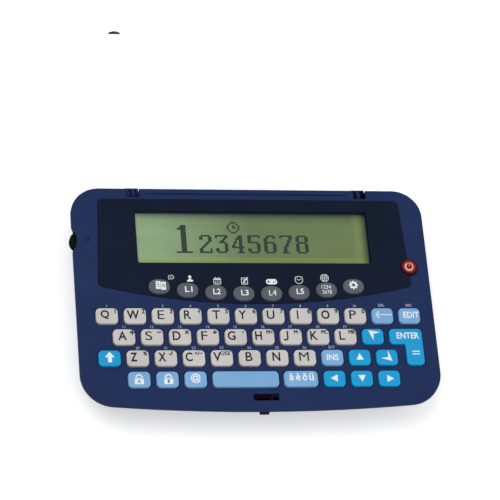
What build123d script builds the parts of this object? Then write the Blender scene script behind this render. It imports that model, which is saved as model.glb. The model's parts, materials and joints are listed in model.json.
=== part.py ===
"""A pocket electronic dictionary with a clear folding cover, built from its separate pieces.

Millimetres, +Z up, +Y towards the hinged back edge. The origin is on the table, under the middle
of the case. The cover is modelled folded open, resting on its stops.
"""

from build123d import *

import math
import os

# Case seen from above
case_width = 130.0
case_depth = 86.6
front_bow = 3.2
front_corner_radius = 12.2
rear_corner_radius = 10.5

# Case seen from the side
foot_height = 0.8
case_height = 14.7
rim_height = 1.8
rim_round = 0.5
hull_taper = 28.0
belly_round = 3.0
parting_drop = 5.5
side_wall = 1.5
top_wall = 1.6
floor_wall = 1.6

# Dark display panel let into the top
panel_back_margin = 4.4
panel_depth = 41.3
panel_back_side = 9.45
panel_front_side = 7.75
panel_shift = 0.6
panel_front_rise = 7.0
panel_corner_radius = 1.9
panel_thickness = 1.2
panel_stands_proud = 0.2
panel_floor = 1.2
panel_ledge = 1.0

# Display
window_width = 85.6
window_depth = 20.7
window_shift = 0.95
window_back_margin = 4.65
window_corner_radius = 0.8
glass_border = 1.4
glass_thickness = 0.6
frame_border = 2.2

# Function buttons, one row on an arc
function_count = 8
function_pitch = 10.15
function_row_shift = 0.6
function_row_drop = 12.25
function_row_radius = 224.0
function_length = 7.8
function_breadth = 5.9
function_stands_proud = 0.8
function_web_overlap = 0.55
web_thickness = 0.9

# Power button
power_inset = 7.25
power_row = 14.45
power_diameter = 6.2
power_rim_height = 0.4
power_dome_height = 1.5
power_flange = 0.75
power_collar = 0.6

# Keyboard
key_columns = 12
key_rows = 4
keyboard_side = 5.0
keyboard_shift = 0.6
keyboard_front_margin = 8.425
keyboard_back_gap = 0.325
key_gap_x = 1.9
key_gap_y = 1.85
stagger = 5.63
key_corner_radius = 1.7
key_top_round = 0.45
key_stands_proud = 0.85
flange_lip = 0.6
flange_thickness = 0.8
key_travel = 0.8
plunger_radius = 1.1
plunger_length = 1.3
accents_width = 12.5
accents_gap = 1.62
enter_inset = 6.05
enter_foot = 6.75

# Contrast wheel at the left edge
wheel_inset = 3.2
wheel_back_margin = 20.35
wheel_radius = 4.0
wheel_thickness = 2.5
wheel_axle_radius = 1.0
wheel_floor_gap = 0.15
wheel_chamfer = 0.2
scoop_radius = 7.3
scoop_depth = 1.8

# Cover and its hinge
open_angle = 102.0
cover_thickness = 1.6
cover_above_case = 2.7
cover_skirt_gap = 0.2
cover_skirt_wall = 1.4
cover_skirt_margin = 4.65
cover_edge_round = 0.7
hinge_inset = 1.9
hinge_drop = 2.4
barrel_radius = 1.35
pin_radius = 0.6
pin_seat = 2.4
knuckle_inset = 22.9
knuckle_width = 4.8
knuckle_side_gap = 0.12
arm_thickness = 2.0
notch_depth = 2.1
groove_margin = 2.45
groove_width = 0.5
groove_depth = 0.4

# Latch at the front
slot_width = 9.2
slot_shift = 0.5
slot_board_margin = 1.5
slot_depth = 2.6
slot_margin = 3.7
hook_half_width = 2.2
hook_margin = 4.65
hook_thickness = 0.8
barb_length = 0.7
barb_height = 0.7
catch_grip = 0.45
catch_depth = 0.85
catch_height = 1.2
catch_drop = 0.7
catch_arm = 0.8
catch_bar = 0.56
latch_travel = 1.0
release_half_width = 1.75
release_stands_out = 0.4
release_height = 2.0
release_round = 0.75
spring_x = -5.9
spring_radius = 0.75
spring_wire = 0.25
spring_turns = 6
spring_rib_half = 1.5

# Electronics
board_thickness = 1.2
board_drop = 5.6
mat_thickness = 0.8
mat_overhang = 1.675
dome_radius = 2.3
dome_height = 1.4
pot_length = 4.0
pot_width = 5.0
processor_place = (20.0, -18.0)
processor_side = 12.0
processor_height = 1.4
memory_place = (-19.0, -18.0)
memory_width = 6.0
memory_length = 8.0
memory_height = 1.8
capacitor_place = (-10.0, -8.0)
capacitor_radius = 2.0
capacitor_height = 4.0

# Coin cells and their bay
cell_diameter = 20.0
cell_thickness = 3.2
cell_gap = 1.0
cell_step_width = 1.2
cell_step_height = 0.5
cell_edge_round = 0.3
bay_margin = 12.65
bay_clearance = 0.6
bay_ceiling_gap = 0.8
bay_wall = 1.2
door_thickness = 1.1
door_margin = 2.6
door_travel = 30.0
tongue_width = 0.65
tongue_height = 0.5
ridge_count = 5
ridge_pitch = 2.0
ridge_depth = 0.3
ridge_margin = 4.0
ridge_half_length = 7.0
leaf_width = 4.0
leaf_length = 10.0
leaf_gauge = 0.2
contact_margin = 1.0

# Fasteners and feet
boss_radius = 2.5
screw_radius = 0.9
screw_head_radius = 1.75
screw_head_height = 1.3
screw_length = 9.0
screw_head_depth = 1.2
pilot_gap = 0.7
recess_reach = 0.9
recess_half = 0.2
recess_depth = 0.6
boss_gap = 0.35
middle_screw_inset = 10.5
middle_screw_row = 3.75
rear_screw_gap = 1.7
rear_screw_margin = 13.15
rest_post_radius = 1.6
rest_post_x = 34.0
rest_post_back = 18.0
rest_post_front = -14.0
middle_post_x = 4.0
foot_radius = 3.5
foot_recess = 0.4
foot_inset = 21.0
foot_margin = 19.15

# Clearances
running_gap = 0.05
seat_gap = 0.1
slide_gap = 0.2
moving_gap = 0.3
board_gap = 0.5

# Heights and places that follow from the sizes above
half_width = case_width / 2
half_depth = case_depth / 2
case_top = foot_height + case_height
rim_bottom = case_top - rim_height
taper_run = math.tan(math.radians(hull_taper))
case_underside = case_top - top_wall
parting_height = case_top - parting_drop
inner_floor = foot_height + floor_wall
panel_back = half_depth - panel_back_margin
panel_front = panel_back - panel_depth
panel_back_half_width = half_width - panel_back_side
panel_front_half_width = half_width - panel_front_side
window_back = panel_back - window_back_margin
window_front = window_back - window_depth
function_row_y = window_front - function_row_drop
power_x = half_width - power_inset
power_y = panel_front + power_row
panel_top = case_top + panel_stands_proud
panel_seat = panel_top - panel_thickness
seat_underside = panel_seat - panel_floor
glass_top = seat_underside - seat_gap
keyboard_back = panel_front - panel_ledge - keyboard_back_gap - flange_lip
keyboard_front = keyboard_front_margin - half_depth
key_pitch_x = (case_width - 2 * keyboard_side) / key_columns
key_pitch_y = (keyboard_back - keyboard_front + key_gap_y) / key_rows
key_width = key_pitch_x - key_gap_x
key_depth = key_pitch_y - key_gap_y
key_corner = min(key_corner_radius, key_depth / 2 - key_top_round)
key_top = case_top + key_stands_proud
flange_top = case_underside - running_gap
web_top = seat_underside - running_gap
board_top = case_top - board_drop
mat_top = board_top + mat_thickness
mat_back = keyboard_back + mat_overhang
board_bottom = board_top - board_thickness
power_flange_top = seat_underside - running_gap
hinge_y = half_depth - hinge_inset
hinge_z = case_top - hinge_drop
knuckle_x = half_width - knuckle_inset
cover_skirt_back = half_depth - cover_skirt_margin
cover_inside = case_top + cover_above_case
cover_top = cover_inside + cover_thickness
door_top = foot_height + door_thickness
cell_bottom = door_top + seat_gap
cell_top = cell_bottom + cell_thickness
bay_ceiling = cell_top + bay_ceiling_gap
cell_spacing = cell_diameter + cell_gap
cell_y = half_depth - bay_margin - cell_diameter / 2
bay_half_width = (cell_spacing + cell_diameter) / 2 + bay_clearance
bay_back = cell_y + cell_diameter / 2 + bay_clearance
bay_front = cell_y - cell_diameter / 2 - bay_clearance
door_half_width = bay_half_width + door_margin
door_front = bay_front - door_margin
wheel_x = wheel_inset - half_width
wheel_y = half_depth - wheel_back_margin
wheel_top = case_underside - moving_gap
wheel_bottom = wheel_top - wheel_thickness
slot_left = slot_shift - slot_width / 2
slot_right = slot_shift + slot_width / 2
slot_front = slot_margin - half_depth
slot_back = slot_front + slot_depth
hook_front = hook_margin - half_depth
catch_top = case_underside - catch_drop
catch_bottom = catch_top - catch_height
hook_back = hook_front + hook_thickness
barb_top = catch_bottom - moving_gap
barb_tip = hook_back + barb_length
hook_bottom = barb_top - barb_height
catch_front = barb_tip - catch_grip
catch_back = catch_front + catch_depth
bar_back = hook_front - latch_travel - slide_gap
rail_back = catch_back + slide_gap
mat_front = rail_back + moving_gap
screw_head_bottom = foot_height + screw_head_depth
screw_head_top = screw_head_bottom + screw_head_height
screw_tip = screw_head_top + screw_length
beyond = 10.0


def block(x0, x1, y0, y1, z0, z1):
    """A box between two corners."""
    middle = Pos((x0 + x1) / 2, (y0 + y1) / 2, (z0 + z1) / 2)
    return middle * Box(abs(x1 - x0), abs(y1 - y0), abs(z1 - z0))


def post(x, y, z0, z1, radius):
    """An upright cylinder between two heights."""
    return Pos(x, y, (z0 + z1) / 2) * Cylinder(radius, z1 - z0)


def slab(face, z0, z1):
    """A flat face given thickness between two heights."""
    return Pos(0, 0, z0) * extrude(face, z1 - z0)


def rod(x0, x1, y, z, radius):
    """A cylinder along X."""
    return Pos((x0 + x1) / 2, y, z) * Rot(0, 90, 0) * Cylinder(radius, x1 - x0)


def rounded_face(edges, front_radius, back_radius, middle_y):
    """A face with its front and its back corners rounded."""
    face = make_face(edges)
    front = [v for v in face.vertices() if v.Y < middle_y]
    face = fillet(front, front_radius)
    back = face.vertices().sort_by(Axis.Y)[-2:]
    return fillet(back, back_radius)


# ---- Case shape ----


def case_face(inset):
    """The case's outline seen from above, drawn in by inset all round."""
    side = half_width - inset
    back = half_depth - inset
    front_end = front_bow - half_depth + inset
    edges = [
        Line((-side, front_end), (-side, back)),
        Line((-side, back), (side, back)),
        Line((side, back), (side, front_end)),
        ThreePointArc((side, front_end), (0, inset - half_depth), (-side, front_end)),
    ]
    return rounded_face(edges, front_corner_radius - inset, rear_corner_radius - inset, 0)


def hull_inset(z):
    """How far the case has drawn in at a height, from the upright rim down to the base."""
    return max(0.0, rim_bottom - z) * taper_run


def hull(extra, bottom, top):
    """The case's outer form between two heights, drawn in by a further wall."""
    solid = Part()
    if top > rim_bottom:
        solid += slab(case_face(extra), max(bottom, rim_bottom), top)
    if bottom < rim_bottom:
        high = min(top, rim_bottom)
        upper = Pos(0, 0, high) * case_face(extra + hull_inset(high))
        lower = Pos(0, 0, bottom) * case_face(extra + hull_inset(bottom))
        solid += loft([lower, upper], ruled=True)
    return solid


def edges_at(solid, z):
    """The edges that lie flat at one height."""
    return [e for e in solid.edges() if abs(e.bounding_box().max.Z - z) < 1e-4
            and abs(e.bounding_box().min.Z - z) < 1e-4]


# ---- Display panel and display ----


def panel_face(grow):
    """The panel's outline, grown by a clearance, with its bite round the power button."""
    back = panel_back + grow
    front = panel_front - grow
    back_half = panel_back_half_width + grow
    front_half = panel_front_half_width + grow
    corner_y = front + panel_front_rise
    edges = [
        Line((-front_half, corner_y), (-back_half, back)),
        Line((-back_half, back), (back_half, back)),
        Line((back_half, back), (front_half, corner_y)),
        ThreePointArc((front_half, corner_y), (0, front), (-front_half, corner_y)),
    ]
    radius = panel_corner_radius + grow
    face = Pos(panel_shift, 0) * rounded_face(edges, radius, radius, (front + back) / 2)
    bite = power_diameter / 2 + power_collar - grow
    return face - Pos(power_x, power_y) * Circle(bite)


def window_face(grow):
    """The display window's outline."""
    width = window_width + 2 * grow
    height = window_back - window_front + 2 * grow
    radius = window_corner_radius + max(grow, 0)
    middle = (window_back + window_front) / 2
    return Pos(window_shift, middle) * RectangleRounded(width, height, radius)


def function_places():
    """Centres of the function buttons along their arc."""
    places = []
    for index in range(function_count):
        x = (index - (function_count - 1) / 2) * function_pitch + function_row_shift
        places.append((x, function_row_y + x * x / (2 * function_row_radius)))
    return places


def function_faces(grow):
    """The ovals of the function buttons."""
    faces = [
        Pos(x, y) * Ellipse(function_length / 2 + grow, function_breadth / 2 + grow)
        for x, y in function_places()
    ]
    return Sketch() + faces


def build_display_panel():
    """Gloss panel let into the top, with the window and the ovals cut through it."""
    panel = slab(panel_face(0), panel_seat, panel_top)
    panel -= slab(window_face(0), panel_seat, panel_top)
    return panel - slab(function_faces(slide_gap), panel_seat, panel_top)


def build_lcd_module():
    """Display glass on its frame, standing on the circuit board."""
    frame = slab(window_face(frame_border), board_top, glass_top - glass_thickness)
    return frame + slab(window_face(glass_border), glass_top - glass_thickness, glass_top)


def build_function_button_strip():
    """One moulded rubber strip that carries the function buttons."""
    reach = function_length / 2 + function_web_overlap
    half = function_breadth / 2 + function_web_overlap
    x0 = function_places()[0][0] - reach
    x1 = function_places()[-1][0] + reach

    def arc_y(x):
        return function_row_y + x * x / (2 * function_row_radius)

    middle = (x0 + x1) / 2
    edges = [
        ThreePointArc((x0, arc_y(x0) - half), (middle, arc_y(middle) - half), (x1, arc_y(x1) - half)),
        Line((x1, arc_y(x1) - half), (x1, arc_y(x1) + half)),
        ThreePointArc((x1, arc_y(x1) + half), (middle, arc_y(middle) + half), (x0, arc_y(x0) + half)),
        Line((x0, arc_y(x0) + half), (x0, arc_y(x0) - half)),
    ]
    strip = slab(make_face(edges), web_top - web_thickness, web_top)
    strip += slab(function_faces(0), web_top, panel_top + function_stands_proud)
    stem_end = board_top + key_travel + slide_gap
    for x, y in function_places():
        strip += post(x, y, stem_end, web_top - web_thickness, plunger_radius)
    return strip


def build_power_button():
    """Round domed button with a flange that keeps it in the case."""
    radius = power_diameter / 2
    rim = case_top + power_rim_height
    sphere_radius = (radius**2 + power_dome_height**2) / (2 * power_dome_height)
    dome = Pos(power_x, power_y, rim + power_dome_height - sphere_radius) * Sphere(sphere_radius)
    flange_bottom = power_flange_top - web_thickness
    button = post(power_x, power_y, flange_bottom, rim, radius)
    button += dome & post(power_x, power_y, rim, rim + power_dome_height, radius)
    button += post(power_x, power_y, flange_bottom, power_flange_top, radius + power_flange)
    stem_end = board_top + key_travel + slide_gap
    return button + post(power_x, power_y, stem_end, flange_bottom, plunger_radius)


# ---- Keyboard ----


def key_x(column):
    """The centre of a column of the keyboard, counted from the left."""
    return (column - (key_columns - 1) / 2) * key_pitch_x + keyboard_shift


def key_y(row):
    """The centre of a row of the keyboard, counted from the back."""
    return keyboard_back - key_depth / 2 - row * key_pitch_y


def cap_face(x, y, width):
    """A plain cap's outline."""
    return Pos(x, y) * RectangleRounded(width, key_depth, key_corner)


def enter_sides():
    """The left side, the step and the right side of the two-row key."""
    left = key_x(9) + stagger + key_width / 2 + key_gap_x
    right = half_width - enter_inset + keyboard_shift
    return left, right - enter_foot, right


def enter_face():
    """The stepped outline of the two-row key."""
    left, step_x, right = enter_sides()
    top = key_y(1) + key_depth / 2
    step = key_y(1) - key_depth / 2
    bottom = key_y(2) - key_depth / 2
    corners = [
        (left, top), (right, top), (right, bottom),
        (step_x, bottom), (step_x, step), (left, step),
    ]
    face = make_face(Polyline(*corners, close=True))
    inner = [v for v in face.vertices() if abs(v.X - step_x) + abs(v.Y - step) < 0.1]
    outer = [v for v in face.vertices() if v not in inner]
    return fillet(outer, key_corner)


def row_of_keys(row, names, first_column, shift):
    """Names and outlines of the plain keys of one row, side by side."""
    places = [(name, key_x(first_column + i) + shift) for i, name in enumerate(names)]
    return {f"key_{name}": [x, key_y(row), key_width] for name, x in places}


def keyboard():
    """Every plain key's name, centre and width."""
    keys = row_of_keys(0, [*"qwertyuiop", "back", "edit"], 0, 0)
    keys |= row_of_keys(1, [*"asdfghjkl", "home"], 0, stagger)
    keys |= row_of_keys(2, ["shift", *"zxcvbnm", "insert", "up", "end"], 0, 0)
    keys |= row_of_keys(3, ["lock_letters", "lock_numbers", "at"], 1, 0)
    space_left = key_x(3) + key_width / 2 + key_gap_x
    accents_x = key_x(8) - key_width / 2 - key_gap_x - accents_width / 2
    space_right = accents_x - accents_width / 2 - accents_gap
    keys |= {"key_space": [(space_left + space_right) / 2, key_y(3), space_right - space_left]}
    keys |= {"key_accents": [accents_x, key_y(3), accents_width]}
    keys |= row_of_keys(3, ["left", "down", "right"], 8, 0)
    return keys


def key_faces():
    """Every key's name, outline and the places of its plungers."""
    faces = {}
    for name, (x, y, width) in keyboard().items():
        reach = (width - key_width) / 2
        plungers = sorted({x - reach, x + reach})
        faces[name] = (cap_face(x, y, width), [(px, y) for px in plungers])
    plunger_x = sum(enter_sides()[1:]) / 2
    faces["key_enter"] = (enter_face(), [(plunger_x, key_y(1)), (plunger_x, key_y(2))])
    return faces


def build_key(face, plungers):
    """One key: a rounded cap, a flange under the case and its plungers."""
    cap = slab(face, flange_top, key_top)
    cap = fillet(edges_at(cap, key_top), key_top_round)
    flange = slab(offset(face, flange_lip, kind=Kind.ARC), flange_top - flange_thickness, flange_top)
    key = cap + flange
    for x, y in plungers:
        bottom = flange_top - flange_thickness - plunger_length
        key += post(x, y, bottom, flange_top - flange_thickness, plunger_radius)
    return key


def build_key_mat(faces):
    """Rubber mat with a hollow dome under each plunger."""
    mat = slab(case_face(hull_inset(board_top) + side_wall + board_gap), board_top, mat_top)
    mat &= block(-half_width, half_width, mat_front, mat_back, board_top, mat_top)
    for _, plungers in faces.values():
        for x, y in plungers:
            mat += post(x, y, mat_top, mat_top + dome_height, dome_radius)
            mat -= post(x, y, mat_top, mat_top + dome_height, plunger_radius + moving_gap)
    for x, y in screw_places():
        mat -= post(x, y, board_top, mat_top, boss_radius + moving_gap)
    return mat


# ---- Electronics and power ----


def screw_places():
    """Centres of the six case screws, clear of the keys and of the display."""
    key_reach = key_width / 2 + flange_lip + boss_radius + boss_gap
    corner_y = key_y(2) - key_depth / 2 - flange_lip - boss_radius - boss_gap
    rear_x = window_width / 2 + window_shift + frame_border + boss_radius + rear_screw_gap
    places = [
        (key_x(10) + key_reach, corner_y),
        (half_width - middle_screw_inset, panel_front + middle_screw_row),
        (rear_x, half_depth - rear_screw_margin),
    ]
    return [(side * x, y) for side in (-1, 1) for x, y in places]


def chip(place, width, length, height):
    """A component under the circuit board."""
    x, y = place
    return block(x - width / 2, x + width / 2, y - length / 2, y + length / 2,
                 board_bottom - height, board_bottom)


def build_circuit_board():
    """Circuit board on the rest posts, with its larger components."""
    board = slab(case_face(hull_inset(board_bottom) + side_wall + board_gap), board_bottom, board_top)
    for x, y in screw_places():
        board -= post(x, y, board_bottom, board_top, boss_radius + moving_gap)
    board -= block(slot_left - slot_board_margin, slot_right + slot_board_margin, -half_depth,
                   catch_back + latch_travel, board_bottom, board_top)
    pot_x = wheel_x + wheel_radius + moving_gap
    board += block(pot_x, pot_x + pot_length, wheel_y - pot_width / 2, wheel_y + pot_width / 2,
                   board_top, glass_top)
    board += chip(processor_place, processor_side, processor_side, processor_height)
    board += chip(memory_place, memory_width, memory_length, memory_height)
    return board + post(*capacitor_place, board_bottom - capacitor_height, board_bottom,
                        capacitor_radius)


def cell_places():
    """Centres of the two coin cells."""
    return [(side * cell_spacing / 2, cell_y) for side in (-1, 1)]


def build_batteries():
    """Two coin cells with the narrower negative cap on top."""
    cells = []
    for x, y in cell_places():
        step = cell_top - cell_step_height
        can = post(x, y, cell_bottom, step, cell_diameter / 2)
        can = fillet(edges_at(can, cell_bottom), cell_edge_round)
        cells.append(can + post(x, y, step, cell_top, cell_diameter / 2 - cell_step_width))
    return cells


def leaf_tail_place(x):
    """Where a battery leaf's tail rises to the board."""
    return x + leaf_length / 2 - leaf_gauge, cell_y


def build_battery_contacts():
    """Dimpled leaf springs over the cells and contact plates at their rims."""
    contacts = []
    for x, y in cell_places():
        sheet = bay_ceiling - leaf_gauge
        dimple = (bay_ceiling_gap - leaf_gauge) / 2
        outline = Polyline(
            (x - leaf_length / 2, bay_ceiling), (x + leaf_length / 2, bay_ceiling),
            (x + leaf_length / 2, sheet), (x + 3 * dimple, sheet), (x + dimple, cell_top),
            (x - dimple, cell_top), (x - 3 * dimple, sheet), (x - leaf_length / 2, sheet),
            close=True,
        )
        profile = make_face(Plane.XZ * outline)
        leaf = Pos(0, y, 0) * extrude(profile, leaf_width / 2, both=True)
        tail_x, tail_y = leaf_tail_place(x)
        leaf += block(tail_x - leaf_gauge, tail_x + leaf_gauge, tail_y - leaf_width / 4,
                      tail_y + leaf_width / 4, sheet, board_bottom)
        contacts.append(leaf)
        wall = bay_back - leaf_gauge
        plate = block(x - leaf_width, x + leaf_width, wall, bay_back, cell_bottom, cell_top)
        contacts.append(plate + block(x - leaf_gauge, x + leaf_gauge, bay_back - bay_clearance,
                                      wall, cell_bottom + contact_margin,
                                      cell_top - contact_margin))
    return contacts


def door_zone(margin):
    """The sliding door's place in the base, open towards the back, with a clearance."""
    x1 = door_half_width + margin
    y0 = door_front - margin
    z0 = foot_height - beyond * margin
    zone = block(-x1, x1, y0, half_depth, z0, door_top + margin)
    tongue = x1 + tongue_width
    z1 = foot_height + (door_thickness - tongue_height) / 2
    return zone + block(-tongue, tongue, y0 + margin, half_depth, z1 - margin,
                        z1 + tongue_height + margin)


def build_battery_cover():
    """Sliding door of the battery bay, flush with the base, with tongues along its sides."""
    door = door_zone(0) & lower_hull()
    for index in range(ridge_count):
        y = door_front + ridge_margin + index * ridge_pitch
        door -= block(-ridge_half_length, ridge_half_length, y, y + ridge_pitch / 2,
                      foot_height, foot_height + ridge_depth)
    return door


# ---- Latch ----


def build_release_button():
    """Front push button with the catch bar that holds the cover's hook."""
    face_front = -half_depth - release_stands_out
    centre_z = (catch_top + catch_bottom) / 2
    half = release_height / 2
    knob = block(-release_half_width, release_half_width, face_front, bar_back,
                 centre_z - half, centre_z + half)
    knob = fillet(knob.faces().sort_by(Axis.Y)[0].edges(), release_round)
    bar_front = bar_back - catch_bar
    wide = hook_half_width + moving_gap + catch_arm
    frame = block(-wide, wide, bar_front, catch_back, catch_bottom, catch_top)
    frame -= block(catch_arm - wide, wide - catch_arm, bar_back, catch_front, catch_bottom, catch_top)
    wing = block(spring_x - spring_radius - spring_wire, 0, bar_front, bar_back,
                 catch_bottom, catch_top)
    return knob + frame + wing


def build_latch_spring():
    """Compression spring between the button's wing and a rib of the case."""
    length = catch_back - bar_back - 2 * spring_wire
    path = Helix(pitch=length / spring_turns, height=length, radius=spring_radius - spring_wire / 2)
    section = Plane(origin=path @ 0, z_dir=path % 0) * Circle(spring_wire / 2)
    coil = sweep(section, path)
    centre_z = (catch_top + catch_bottom) / 2
    return Pos(spring_x, bar_back + spring_wire, centre_z) * Rot(-90, 0, 0) * coil


# ---- Cover and hinge ----


def knuckle_sides():
    """The two hinge knuckles' centres."""
    return (-knuckle_x, knuckle_x)


def build_closed_cover():
    """The clear cover as it lies when shut, with its skirt, hook and hinge arms."""
    plate = slab(case_face(0), cover_inside, cover_top)
    plate = fillet(edges_at(plate, cover_top), cover_edge_round)
    skirt_bottom = case_top + cover_skirt_gap
    skirt = slab(case_face(0) - case_face(cover_skirt_wall), skirt_bottom, cover_inside)
    skirt -= block(-half_width, half_width, cover_skirt_back, half_depth, skirt_bottom, cover_inside)
    cover = plate + skirt
    for x in knuckle_sides():
        x0 = x - knuckle_width / 2
        x1 = x + knuckle_width / 2
        half = arm_thickness / 2
        cover += block(x0, x1, hinge_y - half, hinge_y + half, hinge_z, cover_inside)
        cover += rod(x0, x1, hinge_y, hinge_z, barrel_radius)
        cover -= rod(x0, x1, hinge_y, hinge_z, pin_radius + running_gap)
    prong = block(-hook_half_width, hook_half_width, hook_front, hook_back, hook_bottom, cover_inside)
    barb = block(-hook_half_width, hook_half_width, hook_back, barb_tip, hook_bottom, barb_top)
    return cover + prong + barb


def build_lid():
    """The clear cover folded back onto its stops."""
    axis = Axis((0, hinge_y, hinge_z), (1, 0, 0))
    return build_closed_cover().rotate(axis, -open_angle)


def build_hinge_pins():
    """Steel pins across the two hinge notches."""
    reach = knuckle_width / 2 + knuckle_side_gap + pin_seat
    return [rod(x - reach, x + reach, hinge_y, hinge_z, pin_radius) for x in knuckle_sides()]


# ---- Case shells ----


def lower_hull():
    """Outer form of the lower shell with its belly rounded."""
    solid = hull(0, foot_height, parting_height)
    return fillet(edges_at(solid, foot_height), belly_round)


def hinge_blocks():
    """Solid corners inside the back wall that hold the hinge pins."""
    blocks = Part()
    reach = knuckle_width / 2 + knuckle_side_gap + pin_seat + side_wall / 2
    front = hinge_y - barrel_radius - moving_gap - side_wall
    for x in knuckle_sides():
        blocks += block(x - reach, x + reach, front, half_depth, parting_height, case_underside)
    return blocks & hull(0, parting_height, case_underside)


def hinge_cuts():
    """Notches for the knuckles and seats for the pins."""
    cuts = Part()
    front = hinge_y - barrel_radius - moving_gap
    half = knuckle_width / 2 + knuckle_side_gap
    for x in knuckle_sides():
        cuts += block(x - half, x + half, front, half_depth + beyond, hinge_z - notch_depth,
                      case_top + beyond)
        seat = half + pin_seat
        cuts += rod(x - seat, x + seat, hinge_y, hinge_z, pin_radius + running_gap / 2)
    return cuts


def wheel_cuts():
    """Slot for the contrast wheel and the scoop that bares its edge."""
    slot = post(wheel_x, wheel_y, wheel_bottom - wheel_floor_gap, case_underside,
                wheel_radius + moving_gap)
    scoop_x = -half_width + scoop_depth - scoop_radius
    return slot + post(scoop_x, wheel_y, wheel_bottom - wheel_floor_gap, case_top + beyond,
                       scoop_radius)


def build_upper_case(faces):
    """Upper shell with every opening for keys, display, buttons, wheel, hinge and latch."""
    shell = hull(0, parting_height, case_top)
    shell = fillet(edges_at(shell, case_top), rim_round)
    shell -= hull(side_wall, parting_height, case_underside)
    ledge = slab(panel_face(panel_ledge), seat_underside, case_underside)
    collar = power_diameter / 2 + power_flange + panel_ledge
    ledge += post(power_x, power_y, seat_underside, case_underside, collar)
    shell += ledge & hull(0, seat_underside, case_underside)
    for x, y in screw_places():
        shell += post(x, y, parting_height, case_underside, boss_radius)
    shell += hinge_blocks()
    shell += block(spring_x - spring_rib_half, spring_x + spring_rib_half, catch_back,
                   catch_back + latch_travel, catch_bottom, case_underside)

    shell -= slab(panel_face(seat_gap), panel_seat, case_top)
    shell -= slab(window_face(0), seat_underside, panel_seat)
    shell -= slab(function_faces(moving_gap), seat_underside, panel_seat)
    shell -= post(power_x, power_y, seat_underside, case_top, power_diameter / 2 + slide_gap)
    for face, _ in faces.values():
        shell -= slab(offset(face, slide_gap, kind=Kind.ARC), case_underside, case_top)
    for x, y in screw_places():
        shell -= post(x, y, parting_height, screw_tip + pilot_gap, screw_radius + running_gap)
    shell -= hinge_cuts()
    shell -= wheel_cuts()
    shell += post(wheel_x, wheel_y, wheel_bottom - wheel_floor_gap, case_underside,
                  wheel_axle_radius)
    shell -= block(slot_left, slot_right, slot_front, slot_back, case_underside, case_top)
    centre_z = (catch_top + catch_bottom) / 2
    half_z = release_height / 2 + slide_gap
    half_x = release_half_width + slide_gap
    shell -= block(-half_x, half_x, -half_depth - beyond, bar_back, centre_z - half_z,
                   centre_z + half_z)
    groove_y = half_depth - groove_margin
    groove_end = knuckle_x - knuckle_width
    return shell - block(-groove_end, groove_end, groove_y, groove_y + groove_width,
                         case_top - groove_depth, case_top)


def build_lower_case():
    """Lower shell with the battery bay, rest posts, screw posts and the latch's rails."""
    outer = lower_hull()
    shell = outer - hull(side_wall, inner_floor, parting_height)
    bay = block(-bay_half_width - bay_wall, bay_half_width + bay_wall, bay_front - bay_wall,
                bay_back + bay_wall, foot_height, bay_ceiling + bay_wall)
    shell += bay
    for x, y in screw_places():
        shell += post(x, y, foot_height, parting_height, boss_radius) & outer
    posts = [(sx * rest_post_x, y) for sx in (-1, 1) for y in (rest_post_back, rest_post_front)]
    for x, y in [*posts, (middle_post_x, rest_post_front)]:
        shell += post(x, y, inner_floor, board_bottom, rest_post_radius)
    rail_x = hook_half_width + moving_gap
    rail_front = hull_inset(parting_height) + side_wall + slide_gap - half_depth
    for x in (-rail_x - catch_arm, rail_x):
        rail = block(x, x + catch_arm, rail_front, rail_back, foot_height,
                     catch_bottom - running_gap)
        shell += rail & (outer + hull(0, parting_height, catch_bottom))

    shell -= block(-bay_half_width, bay_half_width, bay_front, bay_back, foot_height, bay_ceiling)
    shell -= door_zone(seat_gap)
    for x, y in cell_places():
        tail_x, tail_y = leaf_tail_place(x)
        reach = leaf_width / 4 + slide_gap
        shell -= block(tail_x - reach / 2, tail_x + reach / 2, tail_y - reach, tail_y + reach,
                       bay_ceiling, bay_ceiling + bay_wall)
    for x, y in screw_places():
        shell -= post(x, y, foot_height, parting_height, screw_radius + slide_gap)
        shell -= post(x, y, foot_height - beyond, screw_head_top, screw_head_radius + slide_gap)
    for x, y in foot_places():
        shell -= post(x, y, foot_height, foot_height + foot_recess, foot_radius + running_gap)
    return shell


def build_case_screws():
    """Six self-tapping screws, head down in the base."""
    screws = []
    recess_top = screw_head_bottom + recess_depth
    for x, y in screw_places():
        screw = post(x, y, screw_head_bottom, screw_head_top, screw_head_radius)
        screw += post(x, y, screw_head_top, screw_tip, screw_radius)
        for reach_x, reach_y in ((recess_reach, recess_half), (recess_half, recess_reach)):
            screw -= block(x - reach_x, x + reach_x, y - reach_y, y + reach_y,
                           screw_head_bottom, recess_top)
        screws.append(screw)
    return screws


def foot_places():
    """Centres of the four feet."""
    x = half_width - foot_inset
    y = half_depth - foot_margin
    return [(sx * x, sy * y) for sx in (-1, 1) for sy in (-1, 1)]


def build_rubber_feet():
    """Four round rubber feet let into the base."""
    return [post(x, y, 0, foot_height + foot_recess, foot_radius) for x, y in foot_places()]


def build_contrast_wheel():
    """Thumbwheel on its upright axle."""
    wheel = post(wheel_x, wheel_y, wheel_bottom, wheel_top, wheel_radius)
    wheel = chamfer(wheel.edges(), wheel_chamfer)
    return wheel - post(wheel_x, wheel_y, wheel_bottom, wheel_top, wheel_axle_radius + running_gap)


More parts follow.
